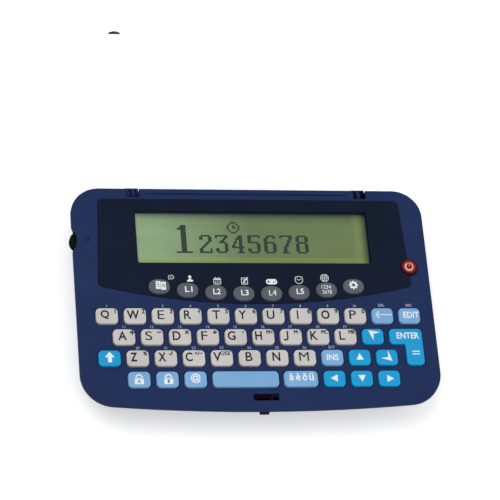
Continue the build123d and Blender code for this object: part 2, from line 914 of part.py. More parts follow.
def main():
    """Build every node and write it."""
    faces = key_faces()
    nodes = {
        "upper_case": build_upper_case(faces),
        "lower_case": build_lower_case(),
        "display_panel": build_display_panel(),
        "lcd_module": build_lcd_module(),
        "circuit_board": build_circuit_board(),
        "key_mat": build_key_mat(faces),
        "batteries": build_batteries(),
        "battery_contacts": build_battery_contacts(),
        "battery_cover": build_battery_cover(),
        "case_screws": build_case_screws(),
        "rubber_feet": build_rubber_feet(),
        "lid": build_lid(),
        "hinge_pins": build_hinge_pins(),
        "release_button": build_release_button(),
        "latch_spring": build_latch_spring(),
        "contrast_wheel": build_contrast_wheel(),
        "power_button": build_power_button(),
        "function_button_strip": build_function_button_strip(),
    }
    nodes |= {name: build_key(*parts) for name, parts in faces.items()}
    os.makedirs("parts", exist_ok=True)
    for name, shape in nodes.items():
        solids = shape if isinstance(shape, list) else [shape]
        children = [solid for item in solids for solid in item.solids()]
        export_step(Compound(children=children) if len(children) > 1 else children[0],
                    f"parts/{name}.step")
        print(name, len(children), round(sum(s.volume for s in children), 2))


if __name__ == "__main__":
    main()
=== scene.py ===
"""Looks of a pocket electronic dictionary with a clear folding cover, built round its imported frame.

Sizes inside the classes are in millimetres; meshes are written in metres, in the frame's own axes.
"""

from __future__ import annotations

import json
import logging
import math
from dataclasses import dataclass, field
from enum import Enum, auto
from typing import Callable, Iterable, Sequence

import bmesh
import bpy
from mathutils import Matrix, Vector

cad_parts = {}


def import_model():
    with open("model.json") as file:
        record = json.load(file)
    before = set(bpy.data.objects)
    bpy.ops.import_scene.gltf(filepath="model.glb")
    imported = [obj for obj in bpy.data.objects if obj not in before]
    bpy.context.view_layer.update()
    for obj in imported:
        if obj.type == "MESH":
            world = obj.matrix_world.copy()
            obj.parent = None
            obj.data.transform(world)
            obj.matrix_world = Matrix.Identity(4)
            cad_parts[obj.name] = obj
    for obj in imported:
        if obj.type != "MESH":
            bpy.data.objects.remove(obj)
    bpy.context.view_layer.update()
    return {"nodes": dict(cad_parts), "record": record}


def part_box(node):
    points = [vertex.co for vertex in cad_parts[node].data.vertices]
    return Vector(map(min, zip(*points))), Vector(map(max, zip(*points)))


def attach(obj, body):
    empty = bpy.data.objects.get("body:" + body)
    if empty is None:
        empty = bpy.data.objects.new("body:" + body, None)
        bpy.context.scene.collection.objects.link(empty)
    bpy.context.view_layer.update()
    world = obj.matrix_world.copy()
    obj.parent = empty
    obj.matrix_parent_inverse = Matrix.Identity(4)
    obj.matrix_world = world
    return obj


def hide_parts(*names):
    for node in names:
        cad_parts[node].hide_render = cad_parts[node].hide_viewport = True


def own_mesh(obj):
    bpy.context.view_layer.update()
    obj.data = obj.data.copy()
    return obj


LOG = logging.getLogger("dictionary")
MM = 0.001
HINGE = (41.4, 13.1)  # Y and Z of the cover's hinge
OPEN_ANGLE = 102.0  # how far the cover is folded back at rest, in degrees
WEB_DROP = 1.25  # from the panel's underside to the flanges of the buttons in it
NOISE_VALUES = (0.3, 0.7)  # nearly all of a noise pattern lies between these

Point = tuple[float, float]
Place = tuple[float, float, float]
Rgb = tuple[int, int, int]
Form = bmesh.types.BMesh
Vert = bmesh.types.BMVert
Piece = bpy.types.Object
Socket = bpy.types.NodeSocket


def srgb(colour: Rgb) -> tuple[float, float, float, float]:
    """Turn a display colour into the linear one that a shader takes.

    Args:
        colour: Red, green and blue from 0 to 255.

    Returns:
        The linear colour with full alpha.
    """
    def linear(value: float) -> float:
        """Undo the display curve for one channel."""
        share = value / 255
        return share / 12.92 if share <= 0.04045 else ((share + 0.055) / 1.055) ** 2.4

    red, green, blue = (linear(value) for value in colour)
    return (red, green, blue, 1.0)


def shade(colour: Rgb, factor: float) -> Rgb:
    """Lighten or darken a display colour.

    Args:
        colour: Red, green and blue from 0 to 255.
        factor: Above 1 for lighter, below 1 for darker.

    Returns:
        The new display colour.
    """
    red, green, blue = (min(255, round(value * factor)) for value in colour)
    return (red, green, blue)


@dataclass(frozen=True)
class Box:
    """The box that a CAD node fills at rest, in millimetres."""

    low: Vector
    high: Vector

    @classmethod
    def of(cls, corners: tuple[Vector, Vector]) -> Box:
        """Turn the frame's two corners from metres into millimetres."""
        return cls(*(corner / MM for corner in corners))

    @property
    def middle(self) -> Point:
        """Middle of the box, seen from above."""
        return (self.low.x + self.high.x) / 2, (self.low.y + self.high.y) / 2


def web_top() -> float:
    """Give the height of the flanges that hold the buttons under the panel."""
    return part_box("display_panel")[0].z / MM - WEB_DROP


# ---- Node trees ----


class Tree:
    """A node tree, with short ways to add nodes and to feed them."""

    def __init__(self, tree: bpy.types.NodeTree) -> None:
        """Take the tree that is to be written."""
        self.tree = tree

    def add(self, kind: str, **settings: object) -> bpy.types.Node:
        """Add a node.

        Args:
            kind: Its type.
            settings: Its properties.

        Returns:
            The node.
        """
        node = self.tree.nodes.new(kind)
        for key, value in settings.items():
            setattr(node, key, value)
        return node

    def join(self, source: Socket, target: Socket) -> None:
        """Link one socket to another."""
        self.tree.links.new(source, target)

    def put(self, target: Socket, value: Socket | float | Place) -> None:
        """Give an input what it reads.

        Args:
            target: The input.
            value: Another socket or a plain value.
        """
        if isinstance(value, Socket):
            self.join(value, target)
        else:
            target.default_value = value

    def feed(self, node: bpy.types.Node, values: Iterable[Socket | float | Place]) -> None:
        """Give a node's inputs, in order, what they read or their plain values."""
        for target, value in zip(node.inputs, values):
            self.put(target, value)

    def math(self, operation: str, *values: Socket | float) -> Socket:
        """Work out a number.

        Args:
            operation: The kind of sum.
            values: What goes into it, in order.

        Returns:
            The result's socket.
        """
        node = self.add("ShaderNodeMath", operation=operation)
        self.feed(node, values)
        return node.outputs[0]

    def point(self, *values: Socket | float) -> Socket:
        """Join numbers into a place.

        Args:
            values: Up to three coordinates.

        Returns:
            The place's socket.
        """
        node = self.add("ShaderNodeCombineXYZ")
        self.feed(node, values)
        return node.outputs[0]


# ---- Finishes ----


class Nodes(Tree):
    """One material's node tree, on Object coordinates."""

    def __init__(self, name: str) -> None:
        """Start an empty material with its Principled shader.

        Args:
            name: The material's name.
        """
        self.material = bpy.data.materials.new(name)
        self.material.use_nodes = True
        super().__init__(self.material.node_tree)
        self.shader = self.tree.nodes["Principled BSDF"]
        self.place = self.add("ShaderNodeTexCoord").outputs["Object"]

    def noise(self, scale: float, detail: float = 2.0,
              stretch: Place = (1.0, 1.0, 1.0)) -> Socket:
        """Add a noise pattern fixed to the piece.

        Args:
            scale: Features per metre.
            detail: Octaves of finer noise.
            stretch: Scale along each axis, for a grain.

        Returns:
            The noise value's socket.
        """
        mapping = self.add("ShaderNodeMapping")
        mapping.inputs["Scale"].default_value = stretch
        self.join(self.place, mapping.inputs["Vector"])
        node = self.add("ShaderNodeTexNoise")
        node.inputs["Scale"].default_value = scale
        node.inputs["Detail"].default_value = detail
        self.join(mapping.outputs["Vector"], node.inputs["Vector"])
        return node.outputs["Fac"]

    def span(self, value: Socket, low: float, high: float, to_low: float = 0.0,
             to_high: float = 1.0) -> Socket:
        """Map a value from one range to another, clamped at both ends.

        Args:
            value: The socket to read.
            low: Start of the range read.
            high: End of the range read.
            to_low: What the start becomes.
            to_high: What the end becomes.

        Returns:
            The mapped value's socket.
        """
        node = self.add("ShaderNodeMapRange")
        node.inputs["From Min"].default_value = low
        node.inputs["From Max"].default_value = high
        node.inputs["To Min"].default_value = to_low
        node.inputs["To Max"].default_value = to_high
        self.join(value, node.inputs["Value"])
        return node.outputs["Result"]

    def spread(self, noise: Socket, low: float = 0.0, high: float = 1.0) -> Socket:
        """Spread the values that a noise mostly has over a range, clamped at both ends."""
        return self.span(noise, *NOISE_VALUES, low, high)

    def blend(self, factor: Socket, low: Rgb | Socket, high: Rgb | Socket) -> Socket:
        """Mix two colours, each a display colour or a socket.

        Args:
            factor: How much of the second colour.
            low: The first colour.
            high: The second colour.

        Returns:
            The mixed colour's socket.
        """
        node = self.add("ShaderNodeMix", data_type="RGBA")
        self.join(factor, node.inputs["Factor"])
        for colour, socket in ((low, node.inputs[6]), (high, node.inputs[7])):
            if isinstance(colour, tuple):
                socket.default_value = srgb(colour)
            else:
                self.join(colour, socket)
        return node.outputs[2]

    def band(self, value: Socket, middle: float, half: float) -> Socket:
        """Pick out a band of places.

        Args:
            value: The coordinate to read.
            middle: Middle of the band, in millimetres.
            half: Half the band's width, in millimetres.

        Returns:
            A socket that is one inside the band and zero outside.
        """
        return self.math("COMPARE", value, middle * MM, half * MM)

    def reach(self, centre: Place, across: Place) -> Socket:
        """Measure how far a place on the piece lies from an axis.

        Args:
            centre: A point of the axis, in millimetres.
            across: One for each direction that counts and zero for the axis's own.

        Returns:
            The distance's socket, in metres.
        """
        vector = self.place
        start = tuple(part * MM for part in centre)
        for operation, other in (("SUBTRACT", start), ("MULTIPLY", across)):
            node = self.add("ShaderNodeVectorMath", operation=operation)
            self.feed(node, (vector, other))
            vector = node.outputs["Vector"]
        length = self.add("ShaderNodeVectorMath", operation="LENGTH")
        self.feed(length, (vector,))
        return length.outputs["Value"]

    def axes(self) -> tuple[Socket, ...]:
        """Split a place on the piece.

        Returns:
            The sockets of its three coordinates.
        """
        split = self.add("ShaderNodeSeparateXYZ")
        self.join(self.place, split.inputs["Vector"])
        return tuple(split.outputs[axis] for axis in "XYZ")

    def relief(self, height: Socket, strength: float, depth: float, edge: float = 0.0) -> None:
        """Give the surface a fine relief, and soften its sharp edges.

        Args:
            height: The relief's height pattern.
            strength: How much the relief shows.
            depth: The relief's depth in millimetres.
            edge: Radius in millimetres that sharp edges seem to have.
        """
        bump = self.add("ShaderNodeBump")
        bump.inputs["Strength"].default_value = strength
        bump.inputs["Distance"].default_value = depth * MM
        self.join(height, bump.inputs["Height"])
        if edge > 0:
            bevel = self.add("ShaderNodeBevel", samples=6)
            bevel.inputs["Radius"].default_value = edge * MM
            self.join(bevel.outputs["Normal"], bump.inputs["Normal"])
        self.join(bump.outputs["Normal"], self.shader.inputs["Normal"])

    def set(self, **values: Socket | float) -> None:
        """Link or set the shader's own inputs by name, with underscores for spaces."""
        for key, value in values.items():
            self.put(self.shader.inputs[key.replace("_", " ")], value)


@dataclass(frozen=True)
class Finish:
    """One finish, which knows how to write its own material.

    Attributes:
        name: The material's name.
    """

    name: str

    def material(self) -> bpy.types.Material:
        """Build the finish's material.

        Returns:
            The finished material.
        """
        nodes = Nodes(self.name)
        self.paint(nodes)
        return nodes.material

    def paint(self, nodes: Nodes) -> None:
        """Write the finish into a material's nodes."""
        raise NotImplementedError


@dataclass(frozen=True)
class MouldedPlastic(Finish):
    """Injection moulded plastic or rubber with a fine spark-eroded skin.

    Attributes:
        colour: Its plain colour.
        mottle: How far the colour strays, as a share.
        roughness: Its mean roughness.
        grain: Grains per metre.
        grain_strength: How much the grain shows.
        grain_depth: The grain's depth.
        edge: Radius that sharp edges seem to have.
        specular: Strength of its plain reflection.
        dark_wall: Middle and half width along X of a wall painted black and dull as painted shade, if
            any.
    """

    colour: Rgb
    mottle: float = 0.05
    roughness: float = 0.45
    grain: float = 2200.0
    grain_strength: float = 0.12
    grain_depth: float = 0.02
    edge: float = 0.0
    specular: float = 0.25
    dark_wall: Point | None = None

    def paint(self, nodes: Nodes) -> None:
        """Write the plastic's nodes.

        Args:
            nodes: The material's nodes.
        """
        cloud = nodes.noise(60.0, 3.0)
        fine = nodes.noise(self.grain, 2.0)
        low = shade(self.colour, 1 - self.mottle)
        high = shade(self.colour, 1 + self.mottle)
        base = nodes.blend(nodes.spread(cloud), low, high)
        speck = nodes.span(fine, 0.35, 0.65, 0.0, self.mottle * 2)
        base = nodes.blend(speck, base, shade(self.colour, 1.3))
        rough = nodes.spread(nodes.noise(180.0, 4.0), self.roughness - 0.06,
                             self.roughness + 0.06)
        # Painted shade: a thin band along X, a wall in shade, is painted black and made dull.
        if self.dark_wall:
            wall_shade = nodes.band(nodes.axes()[0], *self.dark_wall)
            base = nodes.blend(wall_shade, base, (0, 0, 0))
            rough = nodes.math("MAXIMUM", rough, wall_shade)
        nodes.set(Base_Color=base, Roughness=rough, Specular_IOR_Level=self.specular)
        nodes.relief(fine, self.grain_strength, self.grain_depth, self.edge)


@dataclass(frozen=True)
class PrintedInk(Finish):
    """Pad-printed ink with slightly uneven cover.

    Attributes:
        colour: Its colour.
        wear: How much darker its patches are, as a share.
    """

    colour: Rgb
    wear: float = 0.06

    def paint(self, nodes: Nodes) -> None:
        """Write the ink's nodes.

        Args:
            nodes: The material's nodes.
        """
        patch = nodes.spread(nodes.noise(900.0, 3.0))
        base = nodes.blend(patch, shade(self.colour, 1 - self.wear), self.colour)
        rough = nodes.spread(nodes.noise(1500.0), 0.5, 0.65)
        nodes.set(Base_Color=base, Roughness=rough, Specular_IOR_Level=0.2)
        nodes.relief(patch, 0.1, 0.01)


@dataclass(frozen=True)
class GlossyDome(Finish):
    """Glossy plastic with painted light and shade: lighter at a middle point and darker outwards, as
    a lit dome darkens towards its edge.

    Attributes:
        centre: The middle point, seen from above.
        radius: Where the painted shade is deepest.
        middle: The painted lit colour.
        rim: The painted shaded colour.
        light_share: Share of the radius that keeps the painted lit colour.
    """

    centre: Point
    radius: float
    middle: Rgb = (200, 76, 64)
    rim: Rgb = (92, 10, 18)
    light_share: float = 0.6

    def paint(self, nodes: Nodes) -> None:
        """Write the dome's nodes.

        Args:
            nodes: The material's nodes.
        """
        far = nodes.reach((*self.centre, 0.0), (1.0, 1.0, 0.0))
        # Painted shade: the colour darkens from the lit middle towards the dome's edge.
        ring = nodes.span(far, self.radius * self.light_share * MM, self.radius * MM)
        cloud = nodes.spread(nodes.noise(500.0, 3.0), 0.0, 0.2)
        base = nodes.blend(ring, nodes.blend(cloud, self.middle, self.rim), self.rim)
        rough = nodes.spread(nodes.noise(900.0), 0.18, 0.28)
        nodes.set(Base_Color=base, Roughness=rough, Specular_IOR_Level=0.12)
        nodes.relief(nodes.noise(2600.0), 0.04, 0.01)


@dataclass(frozen=True)
class Metal(Finish):
    """Rolled, turned or plated metal with a directional grain.

    Attributes:
        colour: Its plain colour.
        roughness: Its mean roughness.
        grain: Scale of the grain along each axis.
    """

    colour: Rgb
    roughness: float = 0.3
    grain: Place = (1.0, 8.0, 1.0)

    def paint(self, nodes: Nodes) -> None:
        """Write the metal's nodes.

        Args:
            nodes: The material's nodes.
        """
        lines = nodes.noise(900.0, 3.0, self.grain)
        base = nodes.blend(nodes.spread(lines), shade(self.colour, 0.88), self.colour)
        rough = nodes.spread(lines, self.roughness - 0.08, self.roughness + 0.08)
        nodes.set(Base_Color=base, Roughness=rough, Metallic=1.0)
        nodes.relief(lines, 0.15, 0.01, 0.12)


@dataclass(frozen=True)
class ClearPlastic(Finish):
    """Thin clear polystyrene, milky along its edges, with its hinge knuckles painted dark and crossed
    by bands of painted shade.

    Attributes:
        tint: The clear part's colour.
        body: How much it hides seen straight on.
        grazing: How much it hides seen along its face.
        joint: Colour of the painted knuckles.
        joint_gap: Near-black colour of the painted shade across the knuckles.
        gaps: Middle and half width along X of each band of painted shade.
        hinge: Y and Z of the hinge line.
        joint_radius: How far the paint reaches from the hinge line.
        paint_roughness: How much duller the paint is than the clear part.
        shine: Specular level of the clear part and of the paint.
    """

    tint: Rgb
    body: float = 0.04
    grazing: float = 0.4
    joint: Rgb = (33, 46, 84)
    joint_gap: Rgb = (3, 4, 20)
    gaps: tuple[Point, ...] = ((-42.7, 0.3), (-40.7, 0.2), (40.9, 0.45), (43.9, 1.2))
    hinge: Point = HINGE
    joint_radius: float = 2.8
    paint_roughness: float = 0.5
    shine: Point = (0.3, 0.02)

    def paint(self, nodes: Nodes) -> None:
        """Write the clear plastic's nodes.

        Args:
            nodes: The material's nodes.
        """
        weight = nodes.add("ShaderNodeLayerWeight")
        weight.inputs["Blend"].default_value = 0.25
        alpha = nodes.span(weight.outputs["Facing"], 0.35, 1.0, self.body, self.grazing)
        away = nodes.reach((0.0, *self.hinge), (0.0, 1.0, 1.0))
        radius = self.joint_radius * MM
        painted = nodes.span(away, radius, radius * 1.04, 1.0, 0.0)
        haze = nodes.noise(300.0, 3.0)
        base = nodes.blend(nodes.spread(haze), shade(self.tint, 0.97), self.tint)
        joint = self.joint
        across = nodes.axes()[0]
        # Painted shade: near-black bands across the knuckles stand in for the shade in the hinge
        # notches.
        for middle, half in self.gaps:
            joint = nodes.blend(nodes.band(across, middle, half), joint, self.joint_gap)
        rough = nodes.math("MULTIPLY_ADD", painted, self.paint_roughness,
                           nodes.spread(haze, 0.03, 0.08))
        nodes.set(Base_Color=nodes.blend(painted, base, joint), Roughness=rough,
                  Alpha=nodes.math("MAXIMUM", alpha, painted))
        nodes.set(Specular_IOR_Level=self.shine[0])  # what holds where a link can't be kept
        nodes.set(Specular_IOR_Level=nodes.span(painted, 0.0, 1.0, *self.shine))
        nodes.relief(haze, 0.02, 0.01, 0.25)


@dataclass(frozen=True)
class Veil:
    """A tint over the display that fades in towards or along one of its edges.

    Attributes:
        start: Distance from the edge at which the tint begins, counted along the axis.
        end: Distance at which it is whole.
        share: How much of the tint shows where it is whole.
        colour: The tint.
    """

    start: float
    end: float
    share: float
    colour: Rgb


@dataclass(frozen=True)
class LiquidCrystal(Finish):
    """Reflective green display glass, lighter to the left as painted reflection, lighter along its
    front edge, and with painted shade at its back and right edges.

    Attributes:
        left: Colour at the left edge, lightest in the painted reflection.
        middle: Colour in the middle.
        right: Colour at the right edge.
        side: Colour of the module's frame.
        middle_x: Middle of the glass along X.
        half_width: Half its width.
        back_y: Its back edge.
        front_y: Its front edge.
        frame_top: Height at which the glass begins.
        dusk_left: Tint of the back edge's shade at the left.
        dusk: The back edge's shade, with its tint from the middle on.
        glow: Light band a little way in from the front edge.
        gleam: Light band along the right edge.
        left_lip: Pale line at the left edge, painted light over the shade of the window's left wall.
        front_lip: Pale line at the front edge.
        right_side: Shade at the right edge.
    """

    left: Rgb = (146, 174, 131)
    middle: Rgb = (102, 120, 81)
    right: Rgb = (106, 124, 77)
    side: Rgb = (30, 40, 40)
    middle_x: float = 0.95
    half_width: float = 42.8
    back_y: float = 34.25
    front_y: float = 13.55
    frame_top: float = 12.9
    dusk_left: Rgb = (92, 110, 108)
    dusk: Veil = Veil(-3.5, 0.0, 0.45, (44, 58, 80))
    glow: Veil = Veil(3.6, 2.9, 0.27, (160, 178, 70))
    gleam: Veil = Veil(-5.5, -4.0, 0.3, (144, 162, 98))
    left_lip: Veil = Veil(2.5, 0.0, 0.5, (196, 212, 178))
    front_lip: Veil = Veil(0.7, 0.0, 0.5, (196, 212, 178))
    right_side: Veil = Veil(-2.7, 0.0, 0.6, (30, 40, 40))

    def paint(self, nodes: Nodes) -> None:
        """Write the display's nodes.

        Args:
            nodes: The material's nodes.
        """
        x, y, z = nodes.axes()
        left = self.middle_x - self.half_width
        right = self.middle_x + self.half_width
        # Painted reflection: the glass is lighter towards the left.
        to_centre = nodes.span(x, left * MM, self.middle_x * MM)
        near = nodes.blend(to_centre, self.left, self.middle)
        glass = nodes.blend(nodes.span(x, self.middle_x * MM, right * MM), near, self.right)
        dusk = nodes.blend(to_centre, self.dusk_left, self.dusk.colour)
        # Veils along the edges: painted shade at the back and right edges, painted light over the
        # left edge's shade.
        for axis, edge, veil in (
                (y, self.back_y, self.dusk), (y, self.front_y, self.glow), (x, right, self.gleam),
                (x, left, self.left_lip), (y, self.front_y, self.front_lip),
                (x, right, self.right_side)):
            cover = nodes.span(axis, (edge + veil.start) * MM, (edge + veil.end) * MM, 0.0,
                               veil.share)
            glass = nodes.blend(cover, glass, dusk if veil is self.dusk else veil.colour)
        streak = nodes.span(nodes.noise(500.0, 3.0, (0.15, 1.0, 1.0)), 0.35, 0.65, 0.0, 0.12)
        glass = nodes.blend(streak, glass, shade(self.middle, 0.8))
        rim = nodes.span(z, self.frame_top * MM, (self.frame_top + 0.02) * MM)
        rough = nodes.spread(nodes.noise(1200.0), 0.26, 0.38)
        nodes.set(Base_Color=nodes.blend(rim, self.side, glass), Roughness=rough,
                  Specular_IOR_Level=0.25)
        nodes.relief(nodes.noise(2600.0), 0.03, 0.01)


@dataclass(frozen=True)
class BoardResist(Finish):
    """Green solder resist with a pattern of tracks."""

    colour: Rgb = (34, 92, 58)

    def paint(self, nodes: Nodes) -> None:
        """Write the circuit board's nodes.

        Args:
            nodes: The material's nodes.
        """
        brick = nodes.add("ShaderNodeTexBrick")
        brick.inputs["Scale"].default_value = 260.0
        brick.inputs["Mortar Size"].default_value = 0.03
        brick.inputs["Color1"].default_value = srgb(self.colour)
        brick.inputs["Color2"].default_value = srgb(shade(self.colour, 1.15))
        brick.inputs["Mortar"].default_value = srgb((96, 138, 84))
        nodes.join(nodes.place, brick.inputs["Vector"])
        rough = nodes.spread(nodes.noise(800.0), 0.3, 0.45)
        nodes.set(Base_Color=brick.outputs["Color"], Roughness=rough)
        nodes.relief(brick.outputs["Fac"], 0.2, 0.03, 0.1)


class Palette(Enum):
    """Every finish of the dictionary."""

    CASE = MouldedPlastic("case_navy", (33, 47, 86), 0.04, 0.55, 2400.0, 0.1, 0.02, 0.3, 0.05)
    # The panel's window wall at X = 43.75 mm is painted black as painted shade.
    PANEL = MouldedPlastic("panel_gloss", (20, 29, 46), 0.04, 0.2, 2400.0, 0.02, 0.01, 0.2, 0.03,
                           dark_wall=(43.75, 0.01))
    LETTER_KEY = MouldedPlastic("key_stone", (194, 191, 189), 0.03, 0.5, 2600.0, 0.06, 0.01)
    BLUE_KEY = MouldedPlastic("key_pale_blue", (117, 166, 210), 0.03, 0.5, 2600.0, 0.06, 0.01)
    CYAN_KEY = MouldedPlastic("key_bright_blue", (4, 150, 206), 0.03, 0.5, 2600.0, 0.06, 0.01)
    OVAL_KEY = MouldedPlastic("oval_grey_rubber", (82, 85, 94), 0.06, 0.62, 3000.0, 0.15, 0.02)
    RUBBER_MAT = MouldedPlastic("mat_grey_rubber", (150, 152, 150), 0.06, 0.7, 3000.0, 0.2, 0.02)
    FOOT = MouldedPlastic("foot_black_rubber", (28, 28, 30), 0.08, 0.8, 3000.0, 0.3, 0.03, 0.2)
    POWER_HOLLOW = PrintedInk("power_hollow", (112, 30, 8))
    POWER_RIM = MouldedPlastic("power_dark_red", (62, 10, 18), 0.05, 0.3, 2600.0, 0.05, 0.01, 0.0,
                               0.08)
    LATCH = MouldedPlastic("latch_dark_red", (46, 13, 30), 0.06, 0.5, 2600.0, 0.08, 0.01, 0.2,
                           0.04)
    BUMPER = MouldedPlastic("bumper_rubber", (26, 28, 50), 0.08, 0.7, 3000.0, 0.2, 0.02)
    WHEEL = MouldedPlastic("wheel_black", (13, 18, 17), 0.08, 0.6, 2600.0, 0.15, 0.02, 0.0, 0.03)
    CLEAR = ClearPlastic("cover_clear", (246, 249, 252))
    DISPLAY = LiquidCrystal("display_green")
    DOT = PrintedInk("display_dots", (44, 56, 52))
    BOARD = BoardResist("board_green")
    WHITE_INK = PrintedInk("ink_white", (238, 242, 246))
    BLACK_INK = PrintedInk("ink_black", (20, 18, 20), 0.1)
    BLUE_INK = PrintedInk("ink_pale_blue", (96, 140, 186))
    GREY_INK = PrintedInk("ink_grey", (92, 95, 104))
    MARK_INK = PrintedInk("ink_lilac", (176, 184, 214))
    SHADOW_INK = PrintedInk("ink_dark_navy", (8, 20, 60))
    RED_INK = PrintedInk("ink_rose", (250, 196, 180))
    STEEL = Metal("spring_steel", (176, 178, 182), 0.3)
    CELL = Metal("cell_steel", (202, 204, 206), 0.25, (1.0, 1.0, 1.0))
    CONTACT = Metal("contact_nickel", (196, 190, 172), 0.3)
    SCREW = Metal("screw_zinc", (168, 170, 172), 0.35)


_MADE: dict[Palette, bpy.types.Material] = {}


def finish(choice: Palette) -> bpy.types.Material:
    """Give a finish's material, made once.

    Args:
        choice: The finish.

    Returns:
        Its material.
    """
    if choice not in _MADE:
        _MADE[choice] = choice.value.material()
    return _MADE[choice]


def dress(piece: Piece, choice: Palette) -> None:
    """Put one finish on every face of a piece.

    Args:
        piece: The object.
        choice: The finish.
    """
    piece.data.materials.clear()
    piece.data.materials.append(finish(choice))


# ---- Mesh helpers ----


def to_object(name: str, mesh: bpy.types.Mesh) -> Piece:
    """Link a mesh to the scene as an object at the origin.

    Args:
        name: The object's name.
        mesh: Its mesh.

    Returns:
        The object.
    """
    piece = bpy.data.objects.new(name, mesh)
    bpy.context.scene.collection.objects.link(piece)
    return piece


def finish_mesh(form: Form, name: str, smooth: float = 35.0) -> Piece:
    """Close a bmesh into an object with outward normals and smooth curves.

    Args:
        form: The bmesh, in millimetres.
        name: The object's name.
        smooth: Faces that meet at less than this angle in degrees are shaded smooth.

    Returns:
        The object, in metres.
    """
    bmesh.ops.remove_doubles(form, verts=form.verts, dist=1e-5)
    bmesh.ops.recalc_face_normals(form, faces=form.faces)
    for face in form.faces:
        face.smooth = True
    for edge in form.edges:
        if len(edge.link_faces) == 2:
            edge.smooth = edge.calc_face_angle(0.0) < math.radians(smooth)
    form.transform(Matrix.Scale(MM, 4))
    mesh = bpy.data.meshes.new(name)
    form.to_mesh(mesh)
    form.free()
    return to_object(name, mesh)


def moved(place: Point, shift: Point) -> Point:
    """Move a place by a shift."""
    return place[0] + shift[0], place[1] + shift[1]


def mesh_only(piece: Piece) -> bpy.types.Mesh:
    """Take the mesh out of an object and remove the object.

    Args:
        piece: The object.

    Returns:
        The mesh.
    """
    mesh = piece.data
    bpy.data.objects.remove(piece)
    return mesh


def rounded_box(width: float, depth: float, radius: float, steps: int = 6) -> list[Point]:
    """Outline of a rounded rectangle about the origin, counterclockwise.

    Args:
        width: Size along X.
        depth: Size along Y.
        radius: Corner radius.
        steps: Segments of each corner.

    Returns:
        The outline's points.
    """
    points = []
    corners = ((1, 1, 0), (-1, 1, 90), (-1, -1, 180), (1, -1, 270))
    for side_x, side_y, start in corners:
        centre_x = side_x * (width / 2 - radius)
        centre_y = side_y * (depth / 2 - radius)
        for step in range(steps + 1):
            angle = math.radians(start + 90 * step / steps)
            points.append((centre_x + radius * math.cos(angle),
                           centre_y + radius * math.sin(angle)))
    return points


def ellipse(width: float, depth: float, count: int = 48, fullness: float = 2.0) -> list[Point]:
    """Outline of an ellipse about the origin, counterclockwise.

    Args:
        width: Size along X.
        depth: Size along Y.
        count: Number of points.
        fullness: 2 for a true ellipse, more for fuller shoulders.

    Returns:
        The outline's points.
    """
    def reach(part: float) -> float:
        """Swell a sine or cosine to the wanted fullness."""
        return math.copysign(abs(part) ** (2 / fullness), part)

    turns = (math.tau * step / count for step in range(count))
    return [(width / 2 * reach(math.cos(turn)), depth / 2 * reach(math.sin(turn)))
            for turn in turns]


def circle(radius: float, count: int) -> list[Point]:
    """Outline of a circle about the origin, counterclockwise."""
    return ellipse(2 * radius, 2 * radius, count)


def drawn_in(outline: Sequence[Point], inset: float) -> list[Point]:
    """Move an outline inwards by a distance.

    Args:
        outline: Points counterclockwise.
        inset: The distance, negative for outwards.

    Returns:
        The moved points.
    """
    drawn = []
    count = len(outline)
    for index, (x, y) in enumerate(outline):
        before = Vector(outline[index - 1])
        after = Vector(outline[(index + 1) % count])
        here = Vector((x, y))
        one = (here - before).normalized()
        two = (after - here).normalized()
        along = (one + two).normalized()
        normal = Vector((-along.y, along.x))
        lean = Vector((-one.y, one.x)).dot(normal)
        drawn.append(tuple(here + normal * inset / max(lean, 0.5)))
    return drawn


def ring_faces(form: Form, rings: Sequence[Sequence[Vert]]) -> None:
    """Join rings of equal count with quads, in a closed loop round each.

    Args:
        form: The bmesh that holds them.
        rings: Their vertices, ring by ring.
    """
    for low, high in zip(rings, rings[1:]):
        count = len(low)
        for index in range(count):
            after = (index + 1) % count
            form.faces.new((low[index], low[after], high[after], high[index]))


def tube_faces(form: Form, rings: Sequence[Sequence[Vert]]) -> None:
    """Join rings of equal count with quads and close both ends.

    Args:
        form: The bmesh that holds them.
        rings: Their vertices, ring by ring.
    """
    ring_faces(form, rings)
    form.faces.new(list(reversed(rings[0])))
    form.faces.new(rings[-1])


def stacked(form: Form, levels: Sequence[tuple[Sequence[Point], float]],
            centre: Point = (0.0, 0.0)) -> None:
    """Build a closed solid from outlines of equal count stacked along Z.

    Args:
        form: The bmesh that takes the solid.
        levels: Outlines and their heights, from the bottom to the top.
        centre: Where the outlines' origin goes.
    """
    rings = [[form.verts.new((x + centre[0], y + centre[1], z)) for x, y in outline]
             for outline, z in levels]
    tube_faces(form, rings)


def cylinder(form: Form, centre: Point, radius: float, bottom: float, top: float,
             count: int = 24) -> None:
    """Add a closed upright cylinder to a bmesh."""
    outline = circle(radius, count)
    stacked(form, [(outline, bottom), (outline, top)], centre)


# ---- Printing ----


class Lettering:
    """Lettering from the built-in font, kept as meshes one unit high."""

    delicate = frozenset("M4")  # these two close up when thickened

    def __init__(self) -> None:
        """Start with no words made yet."""
        self.made: dict[tuple[str, float], bpy.types.Mesh] = {}

    def mesh(self, words: str, weight: float) -> bpy.types.Mesh:
        """Make some words as a closed mesh.

        Args:
            words: The words.
            weight: How much the strokes are thickened, in font units.

        Returns:
            The mesh, about the origin, of unit size.
        """
        if set(words) & self.delicate:
            weight = 0.0
        key = (words, weight)
        if key in self.made:
            return self.made[key]
        curve = bpy.data.curves.new("lettering", "FONT")
        curve.body = words
        curve.resolution_u = 4
        curve.extrude = 0.5
        curve.offset = weight
        holder = bpy.data.objects.new("lettering", curve)
        bpy.context.scene.collection.objects.link(holder)
        bpy.context.view_layer.update()
        shown = holder.evaluated_get(bpy.context.evaluated_depsgraph_get())
        mesh = bpy.data.meshes.new_from_object(shown)
        bpy.data.objects.remove(holder)
        bpy.data.curves.remove(curve)
        self.made[key] = mesh
        return mesh


LETTERING = Lettering()


